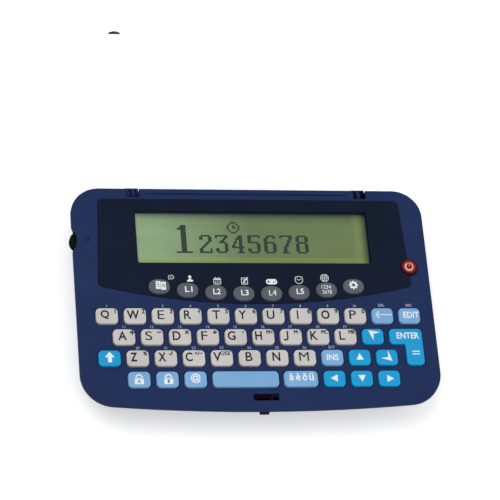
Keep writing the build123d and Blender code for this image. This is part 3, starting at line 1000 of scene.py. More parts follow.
@dataclass
class PrintSheet:
    """Thin raised print on a surface, in one or more inks.

    Attributes:
        name: Name of the finished object.
        inks: The finishes of the inks, in order.
        surface: Height of the printed surface over a point.
        thickness: How far the print stands above it.
        sink: How far the print's back lies below it.
        ink_step: How far each later ink lies above the one before, as a share of the thickness.
        form: The mesh that takes the print.
    """

    name: str
    inks: Sequence[Palette]
    surface: Callable[[float, float], float]
    thickness: float = 0.03
    sink: float = 0.05
    ink_step: float = 0.6
    form: Form = field(default_factory=bmesh.new)

    def face(self, x: float, y: float, ink: int) -> Vert:
        """Add a vertex on the print's face; later inks lie on earlier ones."""
        z = self.surface(x, y) + self.thickness * (1 + self.ink_step * ink)
        return self.form.verts.new((x, y, z))

    def back(self, x: float, y: float) -> Vert:
        """Add a vertex on the print's back."""
        return self.form.verts.new((x, y, self.surface(x, y) - self.sink))

    def fill(self, points: Sequence[Point], at: Point = (0.0, 0.0), ink: int = 0) -> None:
        """Print a filled outline.

        Args:
            points: The outline about the place.
            at: The place.
            ink: Which ink.
        """
        places = [moved(point, at) for point in points]
        low = [self.back(x, y) for x, y in places]
        high = [self.face(x, y, ink) for x, y in places]
        faces = [self.form.faces.new(high), self.form.faces.new(list(reversed(low)))]
        count = len(places)
        for index in range(count):
            after = (index + 1) % count
            faces.append(self.form.faces.new((low[index], low[after], high[after], high[index])))
        for face in faces:
            face.material_index = ink

    def line(self, points: Sequence[Point], width: float, at: Point = (0.0, 0.0),
             closed: bool = False, ink: int = 0) -> None:
        """Print a line of even width.

        Args:
            points: The line's middle about the place.
            width: The line's width.
            at: The place.
            closed: Whether the last point joins the first.
            ink: Which ink.
        """
        count = len(points)
        left, right = [], []
        for index, (x, y) in enumerate(points):
            here = Vector((x, y))
            before = Vector(points[index - 1]) if closed or index else here
            after = Vector(points[(index + 1) % count]) if closed or index < count - 1 else here
            one = (here - before).normalized()
            two = (after - here).normalized()
            along = (one + two).normalized()
            normal = Vector((-along.y, along.x))
            ahead = two if two.length else one
            lean = max(Vector((-ahead.y, ahead.x)).dot(normal), 0.5)
            left.append(here + normal * width / 2 / lean)
            right.append(here - normal * width / 2 / lean)
        corners = []
        for sides in zip(left, right):
            a, b = ((side.x + at[0], side.y + at[1]) for side in sides)
            corners.append([self.face(*a, ink), self.face(*b, ink), self.back(*b), self.back(*a)])
        pairs = list(zip(corners, corners[1:]))
        if closed:
            pairs.append((corners[-1], corners[0]))
        faces = []
        for one, two in pairs:
            for side in range(4):
                after = (side + 1) % 4
                faces.append(self.form.faces.new((one[side], one[after], two[after], two[side])))
        if not closed:
            faces.append(self.form.faces.new(list(reversed(corners[0]))))
            faces.append(self.form.faces.new(corners[-1]))
        for face in faces:
            face.material_index = ink

    def ring(self, radius: float, width: float, at: Point, ink: int = 0) -> None:
        """Print a ring."""
        self.line(circle(radius, 28), width, at, True, ink)

    def words(self, words: str, at: Point, width: float, height: float, weight: float = 0.0,
              ink: int = 0) -> None:
        """Print words that fill a box.

        Args:
            words: The words.
            at: The box's middle.
            width: The box's width.
            height: The box's height.
            weight: How much the strokes are thickened, in font units.
            ink: Which ink.
        """
        mesh = LETTERING.mesh(words, weight)
        spots = [vertex.co for vertex in mesh.vertices]
        low_x, high_x = min(s.x for s in spots), max(s.x for s in spots)
        low_y, high_y = min(s.y for s in spots), max(s.y for s in spots)
        verts = []
        for spot in spots:
            x = at[0] + ((spot.x - low_x) / (high_x - low_x) - 0.5) * width
            y = at[1] + ((spot.y - low_y) / (high_y - low_y) - 0.5) * height
            verts.append(self.face(x, y, ink) if spot.z > 0 else self.back(x, y))
        for polygon in mesh.polygons:
            face = self.form.faces.new([verts[index] for index in polygon.vertices])
            face.material_index = ink

    def done(self) -> Piece:
        """Close the sheet into an object with its inks.

        Returns:
            The printed piece.
        """
        piece = finish_mesh(self.form, self.name, 20.0)
        for ink in self.inks:
            piece.data.materials.append(finish(ink))
        return piece


def letter_width(words: str, height: float, weight: float = 0.0) -> float:
    """Give the width that some words have at a cap height.

    Args:
        words: The words.
        height: The cap height.
        weight: How much the strokes are thickened, in font units.

    Returns:
        The width.
    """
    cap = LETTERING.mesh("H", weight)
    tall = max(v.co.y for v in cap.vertices) - min(v.co.y for v in cap.vertices)
    mesh = LETTERING.mesh(words, weight)
    wide = max(v.co.x for v in mesh.vertices) - min(v.co.x for v in mesh.vertices)
    return wide * height / tall


class Icon(Enum):
    """Pictures printed on keys, ovals and panel."""

    BUBBLE = auto()
    PERSON = auto()
    CALENDAR = auto()
    NOTE = auto()
    GAMEPAD = auto()
    CLOCK = auto()
    GLOBE = auto()
    BOOK = auto()
    TEXT_GRID = auto()
    GEAR = auto()
    POWER = auto()
    PADLOCK = auto()
    BACK_ARROW = auto()
    SHIFT_ARROW = auto()
    HOME_ARROW = auto()
    END_ARROW = auto()
    UP = auto()
    DOWN = auto()
    LEFT = auto()
    RIGHT = auto()
    EQUALS = auto()


def arc(radius: float, start: float, end: float, count: int = 12,
        centre: Point = (0.0, 0.0), width: float = 1.0) -> list[Point]:
    """Points of an arc in degrees, its X scaled by a width.

    Args:
        radius: The arc's radius.
        start: First angle.
        end: Last angle.
        count: Segments.
        centre: The arc's centre.
        width: Scale along X.

    Returns:
        The points.
    """
    turns = [math.radians(start + (end - start) * step / count) for step in range(count + 1)]
    return [(centre[0] + radius * width * math.cos(turn), centre[1] + radius * math.sin(turn))
            for turn in turns]


def turned(points: Iterable[Point], degrees: float) -> list[Point]:
    """Turn points about the origin."""
    turn = Matrix.Rotation(math.radians(degrees), 2)
    return [tuple(turn @ Vector(point)) for point in points]


def print_icon(sheet: PrintSheet, icon: Icon, at: Point) -> None:
    """Print one picture.

    Args:
        sheet: The sheet that takes it.
        icon: Which picture.
        at: Where its middle goes.
    """
    hair, thin, bold = 0.16, 0.2, 0.42
    triangle = [(-1.35, -1.15), (1.35, -1.15), (0.0, 1.35)]
    filled = {
        Icon.SHIFT_ARROW: [(-0.7, -2.0), (0.7, -2.0), (0.7, -0.1), (1.75, -0.1), (0.0, 2.0),
                           (-1.75, -0.1), (-0.7, -0.1)],
        Icon.HOME_ARROW: [(-0.6, -1.95), (-0.3, 0.55), (2.15, 1.2), (-2.15, 1.95)],
        Icon.END_ARROW: [(0.54, -0.63), (-2.04, -1.02), (2.04, -2.08), (0.67, 2.08)],
        Icon.UP: triangle,
        Icon.DOWN: turned(triangle, 180),
        Icon.LEFT: turned(triangle, 90),
        Icon.RIGHT: turned(triangle, -90),
    }
    if icon in filled:
        sheet.fill(filled[icon], at)
    elif icon is Icon.BUBBLE:
        sheet.line(arc(0.75, 0, 330, 20, width=1.35), hair, at, True)
        sheet.line([(-0.5, 0.0), (0.5, 0.0)], hair, at)
        sheet.line([(-0.6, -0.6), (-0.95, -1.05)], hair, at)
    elif icon is Icon.PERSON:
        sheet.fill(ellipse(1.1, 1.2, 20), moved(at, (0.0, 0.65)))
        sheet.fill([(-0.3, 0.3), (-0.3, -0.25), (-1.1, -0.65), (-1.1, -1.15), (1.1, -1.15),
                    (1.1, -0.65), (0.3, -0.25), (0.3, 0.3)], at)
    elif icon is Icon.CALENDAR:
        sheet.line(rounded_box(2.5, 2.2, 0.25, 2), thin, moved(at, (0.0, -0.15)), True)
        sheet.line([(-1.2, 0.65), (1.2, 0.65)], bold, at)
        for x in (-0.6, 0.6):
            sheet.line([(x, 0.7), (x, 1.4)], bold, at)
        for x in (-0.6, 0.0, 0.6):
            for y in (-0.1, -0.75):
                sheet.fill(rounded_box(0.3, 0.3, 0.05, 1), moved(at, (x, y)))
    elif icon is Icon.NOTE:
        sheet.line(rounded_box(2.2, 2.5, 0.2, 2), thin, at, True)
        sheet.line([(-0.55, -0.6), (1.3, 1.45)], bold, at)
        sheet.line([(-0.65, 0.55), (0.2, 0.55)], thin, at)
        sheet.line([(-0.65, -0.75), (0.65, -0.75)], thin, at)
    elif icon is Icon.GAMEPAD:
        sheet.fill(rounded_box(4.1, 2.1, 1.0, 6), at)
        sheet.line([(-1.65, 0.0), (-0.55, 0.0)], 0.3, at, False, 1)
        sheet.line([(-1.1, -0.55), (-1.1, 0.55)], 0.3, at, False, 1)
        for x, y in ((0.75, -0.25), (1.45, 0.25)):
            sheet.fill(ellipse(0.5, 0.5, 12), moved(at, (x, y)), 1)
    elif icon is Icon.CLOCK:
        sheet.ring(1.4, thin, at)
        sheet.line([(-0.75, 0.35), (0.0, -0.05), (0.8, 0.35)], thin, at)
        for turn in (45, 135):
            sheet.line(turned([(1.45, 0.0), (1.85, 0.0)], turn), thin, at)
    elif icon is Icon.GLOBE:
        sheet.ring(1.45, thin, at)
        sheet.line([(-1.45, 0.0), (1.45, 0.0)], thin, at)
        sheet.line([(0.0, -1.45), (0.0, 1.45)], thin, at)
        sheet.line(ellipse(1.5, 2.9, 24), thin, at, True)
    elif icon is Icon.BOOK:
        page = [(0.08, -1.6), (1.8, -1.5), (1.8, 1.6), (0.08, 1.5)]
        for side, lift in ((-1, 0.2), (1, -0.1)):
            sheet.fill([(side * x, y + lift) for x, y in page][::side], at)
        for y in (0.75, 0.1, -0.55):
            sheet.line([(-1.4, y + 0.2), (-0.5, y + 0.2)], thin, at, False, 1)
        sheet.ring(0.45, thin, moved(at, (0.85, 0.1)), 1)
        sheet.line([(1.15, -0.35), (1.45, -0.75)], 0.22, at, False, 1)
    elif icon is Icon.TEXT_GRID:
        sheet.words("1234", moved(at, (0.0, 1.0)), 3.4, 1.45)
        sheet.words("5678", moved(at, (0.15, -0.95)), 3.4, 1.45)
    elif icon is Icon.GEAR:
        sheet.ring(0.95, 0.62, at)
        for tooth in range(8):
            sheet.line(turned([(1.05, 0.0), (1.68, 0.0)], 45 * tooth), 0.55, at)
    elif icon is Icon.POWER:
        for radius in (0.9, 0.55, 0.2):
            sheet.ring(radius, 0.38, at)
        sheet.line(arc(1.3, 118, 422, 24), bold, at, False, 1)
        sheet.line([(0.0, 0.1), (0.0, 1.2)], 0.3, at, False, 1)
    elif icon is Icon.PADLOCK:
        sheet.fill(rounded_box(3.2, 2.3, 0.25, 3), moved(at, (0.0, -0.9)))
        loop = [(-1.05, 0.0), *arc(1.05, 180, 0, 14, (0.0, 0.5)), (1.05, 0.0)]
        sheet.line(loop, 0.5, at)
    elif icon is Icon.BACK_ARROW:
        sheet.line([(-2.75, 0.0), (3.0, 0.0)], 0.3, at)
        sheet.line([(-1.7, 1.35), (-2.9, 0.0), (-1.7, -1.35)], 0.34, at)
    elif icon is Icon.EQUALS:
        for y in (-0.5, 0.5):
            sheet.line([(-1.35, y), (1.35, y)], 0.4, at)


# ---- Repeats grown with Geometry Nodes ----


class Growth(Tree):
    """A Geometry Nodes tree with named size inputs, run once and turned into a plain mesh."""

    def __init__(self, name: str, sizes: dict[str, float]) -> None:
        """Start a tree.

        Args:
            name: The tree's name.
            sizes: The inputs' names and values.
        """
        super().__init__(bpy.data.node_groups.new(name, "GeometryNodeTree"))
        face = self.tree.interface
        face.new_socket("Geometry", in_out="INPUT", socket_type="NodeSocketGeometry")
        self.values = {}
        for title, value in sizes.items():
            kind = "NodeSocketInt" if isinstance(value, int) else "NodeSocketFloat"
            socket = face.new_socket(title, in_out="INPUT", socket_type=kind)
            self.values[socket.identifier] = value
        face.new_socket("Geometry", in_out="OUTPUT", socket_type="NodeSocketGeometry")
        self.start = self.tree.nodes.new("NodeGroupInput")
        self.end = self.tree.nodes.new("NodeGroupOutput")

    def size(self, title: str) -> Socket:
        """Give a named input's socket."""
        return self.start.outputs[title]

    def bar(self, *titles: str) -> Socket:
        """Make a bar.

        Args:
            titles: The three named inputs that give its sides.

        Returns:
            The bar's socket.
        """
        node = self.add("GeometryNodeMeshCube")
        self.join(self.point(*(self.size(title) for title in titles)), node.inputs["Size"])
        return node.outputs["Mesh"]

    def copies(self, points: Socket, instance: Socket, turn: Socket | None = None) -> Socket:
        """Set a copy of something on every point.

        Args:
            points: The points.
            instance: What is copied.
            turn: How each copy is turned, if at all.

        Returns:
            The copies' socket.
        """
        node = self.add("GeometryNodeInstanceOnPoints")
        self.join(points, node.inputs["Points"])
        self.join(instance, node.inputs["Instance"])
        if turn is not None:
            self.join(turn, node.inputs["Rotation"])
        return node.outputs["Instances"]

    def run(self, name: str, seed_mesh: bpy.types.Mesh, result: Socket,
            choice: Palette) -> Piece:
        """Close the tree, run it on a mesh and keep the result as a plain object.

        Args:
            name: The finished object's name.
            seed_mesh: The mesh that the tree starts from.
            result: The geometry to keep.
            choice: The finish of every face.

        Returns:
            The finished object.
        """
        realize = self.add("GeometryNodeRealizeInstances")
        paint = self.add("GeometryNodeSetMaterial")
        paint.inputs["Material"].default_value = finish(choice)
        self.join(result, realize.inputs[0])
        self.join(realize.outputs[0], paint.inputs["Geometry"])
        self.join(paint.outputs[0], self.end.inputs[0])
        holder = to_object(name + "_seed", seed_mesh)
        modifier = holder.modifiers.new("growth", "NODES")
        modifier.node_group = self.tree
        for identifier, value in self.values.items():
            modifier[identifier] = value
        bpy.context.view_layer.update()
        shown = holder.evaluated_get(bpy.context.evaluated_depsgraph_get())
        mesh = bpy.data.meshes.new_from_object(shown)
        mesh.name = name
        holder.modifiers.remove(modifier)
        bpy.data.objects.remove(holder)
        return to_object(name, mesh)


def points_mesh(name: str, places: Iterable[Place]) -> bpy.types.Mesh:
    """Make a mesh of loose points.

    Args:
        name: The mesh's name.
        places: The points in millimetres.

    Returns:
        The mesh, in metres.
    """
    mesh = bpy.data.meshes.new(name)
    mesh.from_pydata([(x * MM, y * MM, z * MM) for x, y, z in places], [], [])
    return mesh


# ---- Sub-assemblies ----


@dataclass
class Frame:
    """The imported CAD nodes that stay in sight, and their finishes."""

    nodes: dict[str, Piece]
    finishes: dict[str, Palette] = field(default_factory=lambda: {
        "upper_case": Palette.CASE,
        "lower_case": Palette.CASE,
        "battery_cover": Palette.CASE,
        "display_panel": Palette.PANEL,
        "lcd_module": Palette.DISPLAY,
        "circuit_board": Palette.BOARD,
        "key_mat": Palette.RUBBER_MAT,
        "batteries": Palette.CELL,
        "battery_contacts": Palette.CONTACT,
        "case_screws": Palette.SCREW,
        "rubber_feet": Palette.FOOT,
        "lid": Palette.CLEAR,
        "hinge_pins": Palette.STEEL,
        "release_button": Palette.LATCH,
    })

    def build(self) -> None:
        """Dress every CAD node that stays in sight."""
        for node, choice in self.finishes.items():
            dress(self.nodes[node], choice)
            LOG.info("dressed %s in %s", node, choice.name)


class KeyKind(Enum):
    """The three colours of keys, each with its finish and a slot's name."""

    LETTER = (Palette.LETTER_KEY, "key_grey")
    PALE = (Palette.BLUE_KEY, "key_light_blue")
    BRIGHT = (Palette.CYAN_KEY, "key_cyan")


@dataclass
class Legend:
    """What one key says.

    Attributes:
        main: The large words, if any.
        box: Width and height of the large words.
        shift: Where their middle lies from the key's middle.
        icon: The picture, if any.
        icon_shift: Where the picture's middle lies from the key's middle.
        pitch: Distance between letters that are printed one by one, or 0 for a whole word.
        on_picture: Whether the words stand on the picture, in pale blue.
    """

    main: str = ""
    box: Point = (0.0, 0.0)
    shift: Point = (0.0, 0.0)
    icon: Icon | None = None
    icon_shift: Point = (0.0, 0.0)
    pitch: float = 0.0
    on_picture: bool = False


@dataclass
class Keyboard:
    """Forty-two keys with their printing.

    Attributes:
        lip: How far the flange stands out round the cap.
        corner: Corner radius of a cap.
        inner_corner: Radius of the corner inside the ENTER key's step.
        flange_drop: From the top of a key down to its flange.
        flange_thickness: Thickness of the flange.
        plunger_radius: Radius of a plunger.
        plunger_length: Length of a plunger.
        plunger_inset: From the end of a key to its plunger.
        plunger_root: How far a plunger reaches into its flange.
        taper: How far a cap draws in from its foot to its edge.
        edge_drop: Depth below the edge's roundness at which half the taper is done.
        edge_round: Radius of a cap's top edge.
        edge_steps: Segments of that edge.
        letter_height: Height of the large letters.
        letter_stroke: Width of their strokes.
        letter_place: Where they stand, from the key's middle.
        hook_radius: Radius of the J's hook.
        hook_stroke: Width of the J's stroke.
        cap_height: Height of the font's capitals, in font units.
        font_stem: Width of the font's stems, in font units.
        small_height: Height of the small marks.
        small_weight: How much the small marks are thickened, in font units.
        small_place: Where the small marks stand, from the key's middle.
        memory_box: Width, height and shift of the memory keys' marks.
        memory_nudge: How far each of their two impressions lies from the middle.
        small_boxes: Width, height and shift of the marks that aren't plain figures.
        word_weight: How much the words are thickened, in font units.
        enter_foot: Width of the ENTER key's lower part.
        pale: The pale blue keys.
        bright: The bright blue keys.
        letter_share: Width of each large letter over its height.
        letter_shift: How far each large letter lies from its place along X.
        small: The small mark of each letter key.
        legends: What the other keys say.
    """

    lip: float = 0.6
    corner: float = 1.7
    inner_corner: float = 0.5
    flange_drop: float = 2.5
    flange_thickness: float = 0.8
    plunger_radius: float = 1.1
    plunger_length: float = 1.3
    plunger_inset: float = 4.0
    plunger_root: float = 0.1
    taper: float = 0.15
    edge_drop: float = 0.9
    edge_round: float = 0.25
    edge_steps: int = 4
    letter_height: float = 3.4
    letter_stroke: float = 0.6
    letter_place: Point = (-0.73, 0.4)
    hook_radius: float = 0.8
    hook_stroke: float = 0.55
    cap_height: float = 0.682
    font_stem: float = 0.0955
    small_height: float = 1.75
    small_weight: float = 0.03
    small_place: Point = (2.95, 1.75)
    memory_box: Place = (2.3, 1.5, 0.6)
    memory_nudge: float = 0.07
    small_boxes: dict[str, Place] = field(default_factory=lambda: {
        "+": (1.9, 1.9, 0.0), "−": (1.6, 0.42, 0.45), "×": (1.5, 1.6, 0.5),
        "÷": (1.5, 1.5, 0.45), "·": (0.65, 0.65, 0.3), "%": (1.4, 1.5, 0.3),
        "√": (1.5, 1.7, 1.1), "+/−": (2.9, 1.5, 1.3), "C/CE": (3.5, 1.4, 1.75),
    })
    word_weight: float = 0.02
    enter_foot: float = 6.75
    pale: tuple[str, ...] = ("back", "edit", "insert", "lock_letters", "lock_numbers", "at",
                             "space", "accents")
    bright: tuple[str, ...] = ("home", "enter", "shift", "up", "end", "left", "down", "right")
    letter_share: dict[str, float] = field(default_factory=lambda: dict(zip(
        "qwertyuiopasdfghjklzxcvbnm",
        (0.91, 1.3, 0.69, 0.75, 0.84, 0.8, 0.83, 0.15, 0.9, 0.73, 0.9, 0.73, 0.84, 0.65, 0.84,
         0.73, 0.59, 0.83, 0.62, 0.7, 0.8, 0.75, 0.8, 0.72, 0.83, 1.03))))
    letter_shift: dict[str, float] = field(default_factory=lambda: dict(zip(
        "qwertyuiopasdfghjklzxcvbnm",
        (0.0, 0.0, -0.05, -0.5, -0.1, -0.67, -0.4, -0.55, -0.35, -0.3, 0.1, -0.55, -0.6, -0.65,
         -0.85, -1.1, -1.3, -0.9, -0.6, -0.7, -0.67, -1.1, -1.0, 0.4, 0.25, 0.3))))
    small: dict[str, str] = field(default_factory=lambda: {
        "q": "1", "w": "2", "e": "3", "r": "4", "t": "5", "y": "6", "u": "7", "i": "8", "o": "9",
        "p": "0", "a": "+", "s": "−", "d": "×", "f": "÷", "g": "·", "h": "M+", "j": "M−",
        "k": "MC", "l": "MR", "z": "%", "x": "√", "c": "+/−", "v": "C/CE",
    })
    legends: dict[str, Legend] = field(default_factory=lambda: {
        "back": Legend(icon=Icon.BACK_ARROW, icon_shift=(0.5, 0.4)),
        "edit": Legend("EDIT", (5.8, 2.4), (0.65, 0.35)),
        "home": Legend(icon=Icon.HOME_ARROW, icon_shift=(0.6, 0.45)),
        "shift": Legend(icon=Icon.SHIFT_ARROW, icon_shift=(0.05, 0.45)),
        "insert": Legend("INS", (4.3, 2.4), (0.0, 0.05)),
        "up": Legend(icon=Icon.UP, icon_shift=(-0.05, 0.25)),
        "down": Legend(icon=Icon.DOWN, icon_shift=(0.0, 0.1)),
        "left": Legend(icon=Icon.LEFT, icon_shift=(-0.1, 0.15)),
        "right": Legend(icon=Icon.RIGHT, icon_shift=(0.3, -0.1)),
        "end": Legend(icon=Icon.END_ARROW, icon_shift=(-0.2, 0.65)),
        "enter": Legend("ENTER", (8.3, 2.4), (0.75, 4.35), Icon.EQUALS, (3.15, -2.3)),
        "lock_letters": Legend("A", (1.35, 1.5), (-0.1, -0.65), Icon.PADLOCK, (-0.1, 0.25),
                               on_picture=True),
        "lock_numbers": Legend("1", (0.75, 1.5), (0.3, -0.65), Icon.PADLOCK, (0.3, 0.25),
                               on_picture=True),
        "at": Legend("@", (3.6, 3.65), (0.0, 0.4)),
        "accents": Legend("àèôü", (1.7, 2.8), (0.15, 0.7), pitch=2.4),
    })

    def outline(self, name: str, box: Box) -> list[Point]:
        """Give a key cap's outline about its middle.

        Args:
            name: The key's name.
            box: The CAD key's box.

        Returns:
            The outline's points.
        """
        width = box.high.x - box.low.x - 2 * self.lip
        depth = box.high.y - box.low.y - 2 * self.lip
        if name != "enter":
            return rounded_box(width, depth, self.corner)
        left, right, front, back = -width / 2, width / 2, -depth / 2, depth / 2
        step_x = right - self.enter_foot
        step_y = back - (depth - self.row_gap()) / 2
        r = self.corner
        inner = self.inner_corner
        return [
            *arc(r, 0, 90, 6, (right - r, back - r)),
            *arc(r, 90, 180, 6, (left + r, back - r)),
            *arc(r, 180, 270, 6, (left + r, step_y + r)),
            *reversed(arc(inner, 0, 90, 4, (step_x - inner, step_y - inner))),
            *arc(r, 180, 270, 6, (step_x + r, front + r)),
            *arc(r, 270, 360, 6, (right - r, front + r)),
        ]

    def row_gap(self) -> float:
        """Measure between two rows of keys.

        Returns:
            The clear gap.
        """
        upper = Box.of(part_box("key_q"))
        lower = Box.of(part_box("key_a"))
        return upper.low.y - lower.high.y + 2 * self.lip

    def cap(self, name: str) -> tuple[Piece, Point, float]:
        """Build one key: a tapered cap with a soft edge, its flange and its plungers.

        Args:
            name: The key's name.

        Returns:
            The key, its middle and the height of its top.
        """
        box = Box.of(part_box(f"key_{name}"))
        outline = self.outline(name, box)
        centre = box.middle
        top = box.high.z
        flange_top = top - self.flange_drop
        flange_bottom = flange_top - self.flange_thickness
        outer = drawn_in(outline, -self.lip)
        levels = [(outer, flange_bottom), (outer, flange_top), (outline, flange_top),
                  (drawn_in(outline, self.taper / 2), top - self.edge_round - self.edge_drop)]
        for step in range(self.edge_steps + 1):
            turn = math.radians(90 * step / self.edge_steps)
            inset = self.taper + self.edge_round * (1 - math.cos(turn))
            levels.append((drawn_in(outline, inset), top - self.edge_round * (1 - math.sin(turn))))
        form = bmesh.new()
        stacked(form, levels, centre)
        half = (box.high.x - box.low.x - 2 * self.lip) / 2
        reach = max(0.0, half - self.plunger_inset)
        spots = [(centre[0] + side * reach, centre[1]) for side in ((-1, 1) if reach else (0,))]
        if name == "enter":
            x = box.high.x - self.lip - self.enter_foot / 2
            spots = [(x, centre[1] + side * self.plunger_inset) for side in (-1, 1)]
        for spot in spots:
            cylinder(form, spot, self.plunger_radius, flange_bottom - self.plunger_length,
                     flange_bottom + self.plunger_root)
        return finish_mesh(form, f"cap_{name}", 40.0), centre, top

    def kind(self, name: str) -> KeyKind:
        """Tell which colour a key has.

        Args:
            name: The key's name.

        Returns:
            The kind of key.
        """
        if name in self.pale:
            return KeyKind.PALE
        return KeyKind.BRIGHT if name in self.bright else KeyKind.LETTER

    def print_key(self, name: str, centre: Point, top: float) -> Piece | None:
        """Print what a key says.

        Args:
            name: The key's name.
            centre: The key's middle.
            top: Height of its top face.

        Returns:
            The printing, or None for a bare key.
        """
        if self.kind(name) is KeyKind.LETTER:
            sheet = PrintSheet(f"legend_{name}", (Palette.BLACK_INK,), lambda x, y: top)
            self.print_letter(sheet, name, moved(centre, self.letter_place))
            if name in self.small:
                self.print_small(sheet, self.small[name], moved(centre, self.small_place))
            return sheet.done()
        legend = self.legends.get(name)
        if legend is None:
            return None
        inks = [Palette.WHITE_INK]
        if legend.on_picture:
            inks.append(Palette.BLUE_INK)
        sheet = PrintSheet(f"legend_{name}", inks, lambda x, y: top)
        if legend.icon:
            print_icon(sheet, legend.icon, moved(centre, legend.icon_shift))
        if legend.main:
            words = list(legend.main) if legend.pitch else [legend.main]
            for index, word in enumerate(words):
                along = (index - (len(words) - 1) / 2) * legend.pitch
                spot = moved(centre, (legend.shift[0] + along, legend.shift[1]))
                sheet.words(word, spot, *legend.box, self.word_weight, len(inks) - 1)
        return sheet.done()

    def print_letter(self, sheet: PrintSheet, name: str, place: Point) -> None:
        """Print a key's large letter.

        Args:
            sheet: The key's sheet.
            name: The letter.
            place: Where large letters stand on this key.
        """
        spot = (place[0] + self.letter_shift[name], place[1])
        if name == "j":
            half = self.letter_height / 2
            middle = (-0.05, self.hook_radius - half)
            hook = arc(self.hook_radius, 0, -140, 8, middle)
            sheet.line([(middle[0] + self.hook_radius, half), *hook], self.hook_stroke, spot)
            return
        width = self.letter_share[name] * self.letter_height
        stretch = width / letter_width(name.upper(), self.letter_height)
        stem = self.letter_stroke / stretch / self.letter_height * self.cap_height
        weight = max(0.0, (stem - self.font_stem) / 2)
        sheet.words(name.upper(), spot, width, self.letter_height, weight)

    def print_small(self, sheet: PrintSheet, mark: str, place: Point) -> None:
        """Print a key's small second mark.

        Args:
            sheet: The key's sheet.
            mark: The mark.
            place: Where small marks stand on this key.
        """
        plain = (letter_width(mark, self.small_height, self.small_weight), self.small_height, 0.0)
        memory = "M" in mark
        width, height, shift = self.small_boxes.get(mark, self.memory_box if memory else plain)
        nudges = (-self.memory_nudge, self.memory_nudge) if memory else (0.0,)
        for nudge in nudges:
            spot = (place[0] - shift + nudge, place[1])
            sheet.words(mark, spot, width, height, self.small_weight)

    def build(self, names: Iterable[str]) -> None:
        """Build, dress and ride every key and its printing.

        Args:
            names: The keys' node names.
        """
        for node in names:
            name = node.removeprefix("key_")
            kind = self.kind(name)
            cap, centre, top = self.cap(name)
            dress(cap, kind.value[0])
            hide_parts(node)
            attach(cap, node)
            legend = self.print_key(name, centre, top)
            if legend:
                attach(legend, node)
            LOG.info("key %s", name)


